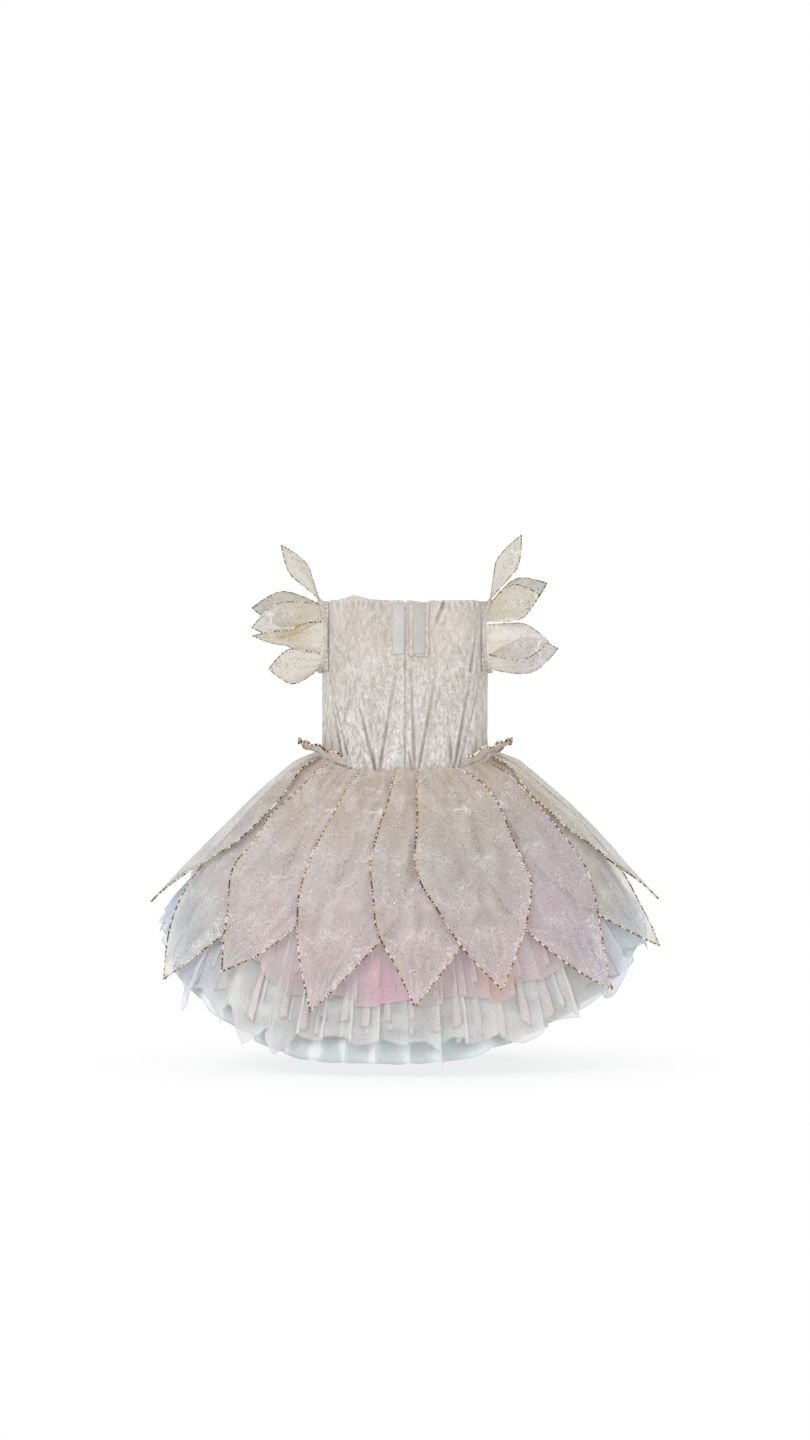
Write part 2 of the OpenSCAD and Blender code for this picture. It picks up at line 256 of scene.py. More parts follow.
    def band(self, side: int, angle: Grid) -> Grid:
        """Middle of a sleeve band at an angle from its top towards the back, in degrees."""
        across, up = np.sin(np.radians(angle)), np.cos(np.radians(angle))
        y = -self.armhole_d / 2 * np.sign(across) * np.abs(across) ** self.band_power
        half = (self.neck_z - self.underarm_z) / 2
        z = (self.neck_z + self.underarm_z) / 2 + half * np.sign(up) * np.abs(up) ** self.band_power
        x = self.flat_l + np.sqrt(self.end_r ** 2 - y ** 2) + self.band_d / 2 + self.band_gap
        return np.stack([side * x, y, z], -1)


# ---- fabric meshes ----


@dataclass
class Fabric:
    """A grid of fabric: an open sheet, or a closed shell when it has an inner grid."""

    name: str
    outer: Grid
    uv: Grid
    inner: Grid | None = None
    wrap: bool = False
    hollow: Grid | None = None

    def build(self) -> bpy.types.Object:
        """Makes the mesh object, with a UV map in metres, and puts it in the scene."""
        rows, cols = self.outer.shape[:2]
        per_row = cols - 1 if self.wrap else cols
        i, j = np.mgrid[0:rows - 1, 0:cols - 1]

        def at(a: Grid, b: Grid) -> Grid:
            """Numbers of the grid's corners."""
            return a * cols + b

        down = np.stack([at(i, j), at(i + 1, j), at(i + 1, j + 1), at(i, j + 1)], -1).reshape(-1, 4)
        faces, points = [down], [self.outer[:, :per_row].reshape(-1, 3)]
        if self.inner is not None:
            points.append(self.inner[:, :per_row].reshape(-1, 3))
            faces.append(down[:, ::-1] + rows * cols)
            faces.extend(self._rims(rows, cols))
        quads = np.concatenate(faces)
        side, cell = quads // (rows * cols), quads % (rows * cols)
        row, col = cell // cols, cell % cols
        vertex = side * rows * per_row + row * per_row + (col % per_row)
        mesh = bpy.data.meshes.new(self.name)
        mesh.from_pydata(np.concatenate(points).tolist(), [], vertex.tolist())
        layer = mesh.uv_layers.new(name="Cloth")
        layer.data.foreach_set("uv", self.uv[row, col].astype(np.float32).ravel())
        mesh.polygons.foreach_set("use_smooth", np.ones(len(quads), bool))
        # the hollow attribute is what the finishes paint crease shade and ridge highlights from
        if self.hollow is not None:
            values = np.tile(self.hollow[:, :per_row].ravel(), len(points)).astype(np.float32)
            mesh.attributes.new("hollow", "FLOAT", "POINT").data.foreach_set("value", values)
        mesh.validate()
        mesh.update()
        return in_scene(bpy.data.objects.new(self.name, mesh))

    def _rims(self, rows: int, cols: int) -> list[Grid]:
        """Faces that join the outer grid to the inner one round the edge."""
        j, i = np.arange(cols - 1), np.arange(rows - 1)
        n, last, end = rows * cols, (rows - 1) * cols, cols - 1
        rims = [np.stack([j, j + 1, n + j + 1, n + j], -1),
                np.stack([last + j + 1, last + j, n + last + j, n + last + j + 1], -1)]
        if not self.wrap:
            a, b = i * cols, (i + 1) * cols
            rims += [np.stack([b, a, n + a, n + b], -1),
                     np.stack([a + end, b + end, n + b + end, n + a + end], -1)]
        return rims

    def cut(self) -> tuple[float, float, float]:
        """Width, length and area of the flat piece that this fabric was cut as."""
        across = np.linalg.norm(np.diff(self.outer, axis=1), axis=-1)
        along = np.linalg.norm(np.diff(self.outer, axis=0), axis=-1)
        a, b = self.outer[1:, 1:] - self.outer[:-1, :-1], self.outer[1:, :-1] - self.outer[:-1, 1:]
        area = 0.5 * np.linalg.norm(np.cross(a, b), axis=-1).sum()
        return float(across.sum(1).max()), float(along.sum(0).max()), float(area)


def in_scene(obj: bpy.types.Object) -> bpy.types.Object:
    """Links an object to the scene and returns it."""
    bpy.context.scene.collection.objects.link(obj)
    return obj


def cloth_uv(points: Grid) -> Grid:
    """Distances along the middle row and down the middle column, as a UV grid."""
    across = np.linalg.norm(np.diff(points, axis=1), axis=-1).mean(0)
    along = np.linalg.norm(np.diff(points, axis=0), axis=-1).mean(1)
    u, v = np.concatenate([[0], np.cumsum(across)]), np.concatenate([[0], np.cumsum(along)])
    return np.stack(np.meshgrid(u, v), -1)


# ---- node helpers ----


class Nodes:
    """Adds nodes to a tree and joins them."""

    def __init__(self, tree: bpy.types.NodeTree) -> None:
        """Keeps the tree that the nodes go in."""
        self.tree = tree

    def add(self, kind: str, inputs: dict | None = None, **settings: object) -> bpy.types.Node:
        """Adds a node.

        Args:
            kind: Blender's name of the node type.
            inputs: Input name or number to a value, or to the socket that feeds it.
            settings: The node's own properties.

        Returns:
            The new node.
        """
        node = self.tree.nodes.new(kind)
        for key, value in settings.items():
            setattr(node, key, value)
        for key, value in (inputs or {}).items():
            if isinstance(value, bpy.types.NodeSocket):
                self.tree.links.new(value, node.inputs[key])
            else:
                node.inputs[key].default_value = value
        return node

    def math(self, operation: str, *values: object) -> bpy.types.NodeSocket:
        """A Math node's result."""
        return self.add("ShaderNodeMath", dict(enumerate(values)), operation=operation).outputs[0]

    def blend(self, factor: object, a: object, b: object) -> bpy.types.NodeSocket:
        """A colour between a and b."""
        return self.add("ShaderNodeMix", {0: factor, 6: a, 7: b}, data_type="RGBA").outputs[2]

    def ramp(self, value: object, low: float, high: float, to_low: float = 0.0,
             to_high: float = 1.0) -> bpy.types.NodeSocket:
        """value moved from the range low..high to to_low..to_high, and kept inside it."""
        inputs = {0: value, 1: low, 2: high, 3: to_low, 4: to_high}
        return self.add("ShaderNodeMapRange", inputs, clamp=True).outputs[0]

    def times(self, a: object, b: object) -> bpy.types.NodeSocket:
        """a multiplied by b."""
        return self.math("MULTIPLY", a, b)

    def plus(self, a: object, b: object) -> bpy.types.NodeSocket:
        """a and b added up."""
        return self.math("ADD", a, b)

    def noise(self, vector: object, scale: object, detail: float = 2.0,
              **more: float) -> bpy.types.NodeSocket:
        """A noise value. more gives the node's other inputs by name."""
        inputs = {"Vector": vector, "Scale": scale, "Detail": detail, **more}
        return self.add("ShaderNodeTexNoise", inputs).outputs[0]

    def part(self, vector: object, axis: int) -> bpy.types.NodeSocket:
        """One coordinate of a vector."""
        return self.add("ShaderNodeSeparateXYZ", {0: vector}).outputs[axis]

    def attribute(self, name: str) -> bpy.types.NodeSocket:
        """A number that is stored on the mesh."""
        return self.add("ShaderNodeAttribute", attribute_name=name).outputs["Fac"]

    def scaled(self, vector: object, factor: object) -> bpy.types.NodeSocket:
        """vector made longer by a factor."""
        return self.add("ShaderNodeVectorMath", {0: vector, "Scale": factor},
                        operation="SCALE").outputs[0]

    def distance(self, a: object, b: object) -> bpy.types.NodeSocket:
        """Distance between two points."""
        return self.add("ShaderNodeVectorMath", {0: a, 1: b}, operation="DISTANCE").outputs[1]

    def chance(self, low: float, high: float, seed: object) -> bpy.types.NodeSocket:
        """A random number for each piece."""
        return self.add("FunctionNodeRandomValue", {2: low, 3: high, 8: seed},
                        data_type="FLOAT").outputs[1]

    def marked(self, geometry: object, name: str, value: object, domain: str) -> bpy.types.NodeSocket:
        """geometry with a number stored on it."""
        return self.add("GeometryNodeStoreNamedAttribute",
                        {"Geometry": geometry, "Name": name, "Value": value},
                        data_type="FLOAT", domain=domain).outputs[0]

    def stretched(self, vector: object, scale: tuple[float, float, float]) -> bpy.types.NodeSocket:
        """vector with each axis scaled."""
        return self.add("ShaderNodeMapping", {"Vector": vector, "Scale": scale}).outputs[0]


def shader_group(name: str, inputs: dict[str, float], outputs: tuple[str, ...],
                 fill: Callable[[Nodes, dict], dict]) -> bpy.types.NodeTree:
    """Builds a shader node group once.

    Args:
        name: The group's name.
        inputs: Number inputs and their defaults. A Vector input is always there.
        outputs: Names of the number outputs.
        fill: Takes the group's nodes and input sockets, and returns a socket for each output.

    Returns:
        The group.
    """
    found = bpy.data.node_groups.get(name)
    if found:
        return found
    tree = bpy.data.node_groups.new(name, "ShaderNodeTree")
    tree.interface.new_socket("Vector", in_out="INPUT", socket_type="NodeSocketVector")
    for label, value in inputs.items():
        socket = tree.interface.new_socket(label, in_out="INPUT", socket_type="NodeSocketFloat")
        socket.default_value = value
    for label in outputs:
        tree.interface.new_socket(label, in_out="OUTPUT", socket_type="NodeSocketFloat")
    nodes = Nodes(tree)
    entry = nodes.add("NodeGroupInput")
    made = fill(nodes, {s.name: s for s in entry.outputs if s.name})
    nodes.add("NodeGroupOutput", made)
    return tree


def crush_group() -> bpy.types.NodeTree:
    """Crushed pile: patches that catch the light, drawn out down the cloth."""
    def fill(n: Nodes, given: dict) -> dict:
        """Mixes coarse streaks with fine crackle."""
        scaled = n.scaled(given["Vector"], n.math("DIVIDE", 1.0, given["Size"]))
        long = n.stretched(scaled, (1.0, 1.0, 0.42))
        warp = n.noise(long, 1.0, 5.0, Distortion=1.6, Roughness=0.62)
        fine = n.noise(long, 3.2, 3.0, Distortion=2.4)
        both = n.plus(n.times(warp, 0.62), n.times(fine, 0.38))
        return {"Mask": n.ramp(both, 0.40, 0.60), "Height": both}
    return shader_group("Crushed pile", {"Size": 0.012}, ("Mask", "Height"), fill)


def weave_group() -> bpy.types.NodeTree:
    """Over-and-under threads on a UV map in metres."""
    def fill(n: Nodes, given: dict) -> dict:
        """Crosses two sets of waves."""
        turns = n.math("DIVIDE", 2 * math.pi, given["Pitch"])
        parts = n.add("ShaderNodeSeparateXYZ", {0: given["Vector"]})
        warp = n.math("SINE", n.times(parts.outputs[0], turns))
        weft = n.math("SINE", n.times(parts.outputs[1], turns))
        cross = n.times(warp, weft)
        return {"Height": n.ramp(cross, -1.0, 1.0),
                "Gap": n.ramp(n.math("MAXIMUM", n.math("ABSOLUTE", warp), n.math("ABSOLUTE", weft)),
                              0.35, 0.9)}
    return shader_group("Weave", {"Pitch": 0.0009}, ("Height", "Gap"), fill)


def speck_group() -> bpy.types.NodeTree:
    """Small specks scattered over the cloth, more of them in some places than in others."""
    def fill(n: Nodes, given: dict) -> dict:
        """Thresholds cell distance by a soft patch noise."""
        per_metre = n.math("DIVIDE", 1.0, given["Spacing"])
        cells = n.add("ShaderNodeTexVoronoi", {"Vector": given["Vector"], "Scale": per_metre})
        chosen = n.part(cells.outputs["Color"], 0)
        patch = n.noise(given["Vector"], 22.0, 2.0)
        share = n.times(given["Share"], n.ramp(patch, 0.35, 0.65, 0.35, 1.5))
        close = n.math("LESS_THAN", cells.outputs["Distance"], 0.34)
        return {"Mask": n.times(close, n.math("LESS_THAN", chosen, share))}
    return shader_group("Specks", {"Spacing": 0.0042, "Share": 0.4}, ("Mask",), fill)


def wrinkle_group() -> bpy.types.NodeTree:
    """Thin curved creases, as thin stiff cloth keeps after it has been crushed. The finishes paint them
    pale, as highlights along the creases.
    """
    def fill(n: Nodes, given: dict) -> dict:
        """Keeps the places where two distorted noises cross their middle."""
        masks = []
        for scale, thin in ((1.0, 0.016), (2.7, 0.022)):
            per_metre = n.math("DIVIDE", scale, given["Size"])
            wave = n.noise(given["Vector"], per_metre, 2.5, Distortion=1.3)
            middle = n.math("ABSOLUTE", n.math("SUBTRACT", wave, 0.5))
            masks.append(n.ramp(middle, 0.0, thin, 1.0, 0.0))
        patch = n.ramp(n.noise(given["Vector"], 17.0, 1.0), 0.42, 0.62)
        both = n.math("MAXIMUM", masks[0], n.times(masks[1], 0.7))
        return {"Mask": n.times(both, patch)}
    return shader_group("Wrinkles", {"Size": 0.04}, ("Mask",), fill)


@dataclass(frozen=True)
class Finish:
    """A finish of the dress. Each kind of cloth or cord has its own class."""

    name: str

    def build(self) -> bpy.types.Material:
        """Makes the material, or returns the one already made."""
        found = bpy.data.materials.get(self.name)
        if found:
            return found
        material = bpy.data.materials.new(self.name)
        material.use_nodes = True
        nodes = Nodes(material.node_tree)
        self.dress(nodes, material.node_tree.nodes["Principled BSDF"])
        return material

    def dress(self, n: Nodes, shader: bpy.types.Node) -> None:
        """Sets up the shader."""
        raise NotImplementedError

    @staticmethod
    def set(shader: bpy.types.Node, **values: object) -> None:
        """Sets the shader's own sockets. Underscores stand for spaces."""
        for label, value in values.items():
            shader.inputs[label.replace("_", " ")].default_value = value

    @staticmethod
    def feed(n: Nodes, shader: bpy.types.Node, **sockets: object) -> None:
        """Joins sockets to the shader's inputs. Underscores stand for spaces."""
        for label, socket in sockets.items():
            n.tree.links.new(socket, shader.inputs[label.replace("_", " ")])

    @staticmethod
    def place(n: Nodes) -> bpy.types.NodeSocket:
        """Object coordinates."""
        return n.add("ShaderNodeTexCoord").outputs["Object"]

    @staticmethod
    def crease_shade_and_ridge_highlight(n: Nodes, tint: bpy.types.NodeSocket, deep: Colour, pale: Colour,
             share: float = 0.7) -> bpy.types.NodeSocket:
        """tint with painted shade in the creases and a painted highlight on the ridges of the cloth."""
        hollow = n.attribute("hollow")
        # painted shade towards deep in the creases, painted highlight towards pale on the ridges
        tint = n.blend(n.ramp(hollow, 0.0, 1.0, 0.0, share), tint, deep)
        return n.blend(n.ramp(hollow, -1.0, 0.0, share * 0.7, 0.0), tint, pale)

    @staticmethod
    def cloth(n: Nodes) -> bpy.types.NodeSocket:
        """The piece's UV map, in metres."""
        return n.add("ShaderNodeUVMap", uv_map="Cloth").outputs[0]

    @staticmethod
    def bump(n: Nodes, height: bpy.types.NodeSocket, distance: float,
             strength: float = 1.0) -> bpy.types.NodeSocket:
        """A bumped normal."""
        inputs = {"Height": height, "Distance": distance, "Strength": strength}
        return n.add("ShaderNodeBump", inputs).outputs[0]

    @staticmethod
    def group(n: Nodes, tree: bpy.types.NodeTree, vector: bpy.types.NodeSocket,
              **values: float) -> bpy.types.Node:
        """Places a shared group."""
        node = n.tree.nodes.new("ShaderNodeGroup")
        node.node_tree = tree
        n.tree.links.new(vector, node.inputs["Vector"])
        for label, value in values.items():
            node.inputs[label].default_value = value
        return node


@dataclass(frozen=True)
class CrushedVelvet(Finish):
    """Panne velvet whose flattened pile shines in patches."""

    shade: Colour = srgb(176, 165, 153)
    # light is the painted sheen of the crushed pile, and also the painted highlight on its ridges
    light: Colour = srgb(240, 239, 236)
    blush: Colour = srgb(204, 187, 176)
    # deep is the colour of the painted shade in the creases
    deep: Colour = srgb(132, 120, 108)
    patch: float = 8 * MM
    vein: float = 15 * MM

    def dress(self, n: Nodes, shader: bpy.types.Node) -> None:
        """Patches of light and shaded pile painted as sheen, thin crease lines painted pale like it, a warm
        blush here and there, and painted shade in the creases.
        """
        place = self.place(n)
        crush = self.group(n, crush_group(), place, Size=self.patch)
        fine = self.group(n, crush_group(), place, Size=self.patch * 0.37)
        height = n.part(place, 2)
        veins = self.group(n, wrinkle_group(), n.stretched(place, (1.0, 1.0, 0.45)),
                           Size=self.vein).outputs["Mask"]
        mask = n.plus(n.times(crush.outputs["Mask"], 0.55),
                      n.times(fine.outputs["Mask"], 0.45))
        mask = n.ramp(mask, 0.22, 0.8)
        mask = n.times(mask, n.ramp(height, 20 * MM, 210 * MM, 1.0, 0.6))
        # thin crease lines painted pale, as sheen
        mask = n.math("MAXIMUM", mask, n.times(veins, 0.9))
        warm = n.plus(n.ramp(n.noise(place, 11.0, 2.0), 0.45, 0.7, 0.0, 0.6),
                      n.ramp(height, 60 * MM, 240 * MM, 0.0, 0.3))
        base = n.blend(warm, self.shade, self.blush)
        pile = n.plus(n.plus(crush.outputs["Height"], n.times(fine.outputs["Height"], 0.5)),
                      n.times(veins, 0.3))
        # painted shade in the creases and painted highlight on the ridges
        tint = self.crease_shade_and_ridge_highlight(n, n.blend(mask, base, self.light), self.deep, self.light, 0.46)
        self.feed(n, shader, Base_Color=tint, Roughness=n.ramp(mask, 0.0, 1.0, 0.72, 0.36),
                  Normal=self.bump(n, pile, 1.6 * MM, 1.0))
        self.set(shader, Sheen_Weight=0.25, Sheen_Roughness=0.4)


@dataclass(frozen=True)
class Organza(Finish):
    """Sheer stiff cloth with fine glitter specks, warmer towards the seam that it hangs from."""

    body: Colour = srgb(214, 204, 199)
    top: Colour = srgb(213, 199, 181)
    tip: Colour = srgb(219, 203, 206)
    # deep is the colour of the painted shade in the creases
    deep: Colour = srgb(164, 151, 144)
    pale: Colour = srgb(240, 237, 234)
    # line is the colour of the painted highlight along the crease lines
    line: Colour = srgb(250, 249, 248)
    speck: Colour = srgb(88, 74, 80)
    cover: float = 0.48
    length: float = 0.4

    def dress(self, n: Nodes, shader: bpy.types.Node) -> None:
        """Tints the cloth down its length, adds threads and specks, and paints glints on the streaks,
        near-white highlights along the crease lines and shade in the creases.
        """
        cloth = self.cloth(n)
        down = n.part(cloth, 1)
        streak = n.noise(n.stretched(cloth, (60.0, 9.0, 1.0)), 1.0, 3.0)
        cloud = n.noise(cloth, 16.0, 2.0)
        lower = n.plus(n.math("DIVIDE", down, self.length), n.ramp(cloud, 0.3, 0.7, -0.22, 0.22))
        tint = n.blend(n.ramp(lower, 0.05, 0.45), self.top, self.body)
        tint = n.blend(n.ramp(lower, 0.45, 0.95), tint, self.tip)
        # painted shade in the creases and painted highlight on the ridges
        tint = self.crease_shade_and_ridge_highlight(n, tint, self.deep, srgb(244, 241, 238), 0.75)
        crackle = self.group(n, crush_group(), n.stretched(cloth, (1.0, 0.5, 1.0)), Size=7 * MM)
        glint = n.times(n.ramp(streak, 0.45, 0.75), n.ramp(crackle.outputs["Mask"], 0.3, 1.0, 0.1, 0.5))
        tint = n.blend(glint, tint, self.pale)
        lines = self.group(n, wrinkle_group(), cloth, Size=46 * MM).outputs["Mask"]
        # crease lines painted near white, as highlights along the creases
        tint = n.blend(n.times(lines, 0.62), tint, self.line)
        specks = self.group(n, speck_group(), cloth, Spacing=2.7 * MM, Share=0.4)
        tint = n.blend(n.times(specks.outputs["Mask"], 0.72), tint, self.speck)
        threads = self.group(n, weave_group(), cloth, Pitch=0.7 * MM)
        alpha = n.plus(n.ramp(cloud, 0.35, 0.65, self.cover - 0.14, self.cover + 0.12),
                       n.times(lines, 0.2))
        alpha = n.plus(alpha, n.times(threads.outputs["Gap"], 0.08))
        alpha = n.math("MINIMUM", n.plus(alpha, n.times(specks.outputs["Mask"], 0.2)), 1.0)
        creased = n.plus(n.noise(n.stretched(cloth, (34.0, 14.0, 1.0)), 1.0, 4.0),
                         n.plus(n.times(crackle.outputs["Height"], 0.3),
                                n.times(lines, 0.12)))
        self.feed(n, shader, Base_Color=tint, Alpha=alpha,
                  Roughness=n.ramp(streak, 0.3, 0.7, 0.5, 0.3),
                  Normal=self.bump(n, creased, 3.6 * MM, 0.8))
        self.set(shader, Sheen_Weight=0.15)


@dataclass(frozen=True)
class Netting(Finish):
    """Soft tulle: a fine mesh, seen as a haze with a denser cut edge."""

    colour: Colour = srgb(238, 239, 238)
    deep: Colour = srgb(214, 214, 213)
    far: Colour = srgb(206, 218, 236)
    cover: float = 0.5
    # edge is the colour of the denser cut edge, and also of the painted shade in the creases
    edge: Colour = srgb(196, 190, 191)

    def dress(self, n: Nodes, shader: bpy.types.Node) -> None:
        """UV's second number is the distance up from the hem."""
        cloth = self.cloth(n)
        up = n.part(cloth, 1)
        holes = n.add("ShaderNodeTexVoronoi", {"Vector": cloth, "Scale": 1 / (1.7 * MM)},
                      feature="DISTANCE_TO_EDGE").outputs[0]
        thread = n.ramp(holes, 0.05, 0.25, 1.0, 0.0)
        cloud = n.noise(n.stretched(cloth, (26.0, 8.0, 1.0)), 1.0, 3.0)
        hem = n.ramp(up, 0.9 * MM, 1.8 * MM, 1.0, 0.0)
        haze = n.plus(n.ramp(cloud, 0.3, 0.7, self.cover - 0.1, self.cover + 0.1),
                      n.times(thread, 0.14))
        alpha = n.math("MAXIMUM", haze, n.times(hem, 0.85))
        # painted shade in the creases, in the edge colour, and painted highlight on the ridges
        tint = self.crease_shade_and_ridge_highlight(n, n.blend(cloud, self.deep, self.colour), self.edge, self.colour, 0.6)
        across = n.part(self.place(n), 0)
        tint = n.blend(n.ramp(n.math("ABSOLUTE", across), 0.27, 0.37, 0.0, 0.75), tint, self.far)
        self.feed(n, shader, Base_Color=n.blend(hem, tint, self.edge), Alpha=alpha,
                  Normal=self.bump(n, cloud, 2.0 * MM, 0.5))
        self.set(shader, Roughness=0.8)


@dataclass(frozen=True)
class PinkNetting(Netting):
    """Tulle whose dye is stronger in two places at the back."""

    strong: Colour = srgb(238, 182, 206)
    salmon: Colour = srgb(234, 190, 178)
    spots: tuple[tuple[float, float, float, float], ...] = ()

    def dress(self, n: Nodes, shader: bpy.types.Node) -> None:
        """Adds the dyed places by their centre and size in Object coordinates."""
        super().dress(n, shader)
        tint = shader.inputs["Base Color"].links[0].from_socket
        place = self.place(n)
        for number, (x, y, z, size) in enumerate(self.spots):
            away = n.distance(place, (x, y, z))
            ragged = n.plus(away, n.ramp(n.noise(place, 30.0), 0.3, 0.7, -size * 0.3, size * 0.3))
            share = n.ramp(ragged, size * 0.25, size, 0.85, 0.0)
            tint = n.blend(share, tint, self.salmon if number % 2 else self.strong)
        self.feed(n, shader, Base_Color=tint)


@dataclass(frozen=True)
class WovenCloth(Finish):
    """Closely woven cloth or tape."""

    colour: Colour = srgb(240, 238, 234)
    shade: Colour = srgb(224, 221, 216)
    pitch: float = 0.9 * MM
    relief: float = 0.15 * MM
    roughness: float = 0.8
    shine: float = 0.1

    def dress(self, n: Nodes, shader: bpy.types.Node) -> None:
        """Threads with slow changes of tone."""
        cloth = self.cloth(n)
        threads = self.group(n, weave_group(), cloth, Pitch=self.pitch)
        slow = n.ramp(n.noise(cloth, 40.0, 3.0), 0.35, 0.65)
        tint = n.blend(slow, self.shade, self.colour)
        tint = n.blend(n.times(threads.outputs["Height"], 0.25), tint, self.shade)
        self.feed(n, shader, Base_Color=tint,
                  Roughness=n.ramp(slow, 0.0, 1.0, self.roughness, self.roughness - 0.12),
                  Normal=self.bump(n, threads.outputs["Height"], self.relief, 0.6))
        self.set(shader, Sheen_Weight=self.shine)


@dataclass(frozen=True)
class Satin(Finish):
    """Smooth satin with long soft reflections."""

    # colour is the tone of the painted soft reflections, shade the satin between them
    colour: Colour = srgb(240, 246, 247)
    shade: Colour = srgb(214, 224, 227)

    def dress(self, n: Nodes, shader: bpy.types.Node) -> None:
        """Faint floats of thread, long pale patches painted as soft reflections, and painted cool shade in
        the hollows.
        """
        cloth = self.cloth(n)
        floats = n.noise(n.stretched(cloth, (900.0, 60.0, 1.0)), 1.0, 2.0)
        slow = n.ramp(n.noise(n.stretched(cloth, (22.0, 6.0, 1.0)), 1.0, 3.0), 0.35, 0.65)
        creased = n.noise(n.stretched(cloth, (30.0, 12.0, 1.0)), 1.0, 4.0)
        height = n.plus(creased, n.times(floats, 0.03))
        # long slow patches painted as soft reflections, and painted cool shade in the creases
        tint = self.crease_shade_and_ridge_highlight(n, n.blend(slow, self.shade, self.colour), srgb(188, 196, 196), self.colour)
        self.feed(n, shader, Base_Color=tint, Roughness=n.ramp(floats, 0.3, 0.7, 0.36, 0.26),
                  Normal=self.bump(n, height, 3.0 * MM, 0.5))
        self.set(shader, Sheen_Weight=0.1)


@dataclass(frozen=True)
class GoldCord(Finish):
    """Twisted metal thread, whose turns catch the light one after another."""

    # dark is painted shade and pale a painted highlight on the cord's turns
    dark: Colour = srgb(88, 68, 42)
    gold: Colour = srgb(204, 174, 104)
    pale: Colour = srgb(255, 253, 240)
    turn: float = 2.1 * MM

    def dress(self, n: Nodes, shader: bpy.types.Node) -> None:
        """Each short stretch of cord gets a tone of its own: pale turns are painted highlights and dark
        turns painted shade.
        """
        along = n.attribute("along")
        step = n.math("FLOOR", n.math("DIVIDE", along, self.turn))
        chance = n.add("ShaderNodeTexWhiteNoise", {"W": step}, noise_dimensions="1D").outputs[0]
        slow = n.noise(self.place(n), 24.0, 1.0)
        tone = n.plus(chance, n.ramp(slow, 0.35, 0.65, -0.16, 0.16))
        # painted shade on the dark turns and painted highlight on the pale ones
        tint = n.blend(n.ramp(tone, 0.26, 0.38), self.dark, self.gold)
        tint = n.blend(n.ramp(tone, 0.6, 0.72), tint, self.pale)
        self.feed(n, shader, Base_Color=tint, Roughness=n.ramp(tone, 0.0, 1.0, 0.45, 0.25))
        self.set(shader, Metallic=0.25)


@dataclass(frozen=True)
class Glitter(Finish):
    """Loose flakes, some painted bright as glints and the rest dark, chosen at random rather than by the
    way they lie.
    """

    bright: Colour = (1.0, 1.0, 1.0, 1.0)
    dull: Colour = srgb(150, 134, 140)

    def dress(self, n: Nodes, shader: bpy.types.Node) -> None:
        """Takes each flake's tone from its attribute: the bright flakes are painted glints, and they glow
        by emission.
        """
        tone = n.attribute("tone")
        lit = n.ramp(tone, 0.45, 0.55)
        # painted glints: the bright flakes are white and glow by emission
        self.feed(n, shader, Base_Color=n.blend(lit, self.dull, self.bright),
                  Emission_Color=n.blend(lit, (0.0, 0.0, 0.0, 1.0), self.bright))
        self.set(shader, Roughness=0.25, Metallic=0.3, Emission_Strength=0.35)


@dataclass(frozen=True)
class Thread(Finish):
    """Sewing thread or nylon bristle."""

    colour: Colour = srgb(226, 220, 210)

    def dress(self, n: Nodes, shader: bpy.types.Node) -> None:
        """Fine plies along the thread."""
        ply = n.noise(self.place(n), 1800.0, 1.0)
        self.feed(n, shader, Base_Color=n.blend(n.ramp(ply, 0.35, 0.65), self.colour, srgb(205, 198, 188)),
                  Normal=self.bump(n, ply, 0.05 * MM))
        self.set(shader, Roughness=0.6)


# ---- repeated pieces, grown by Geometry Nodes ----


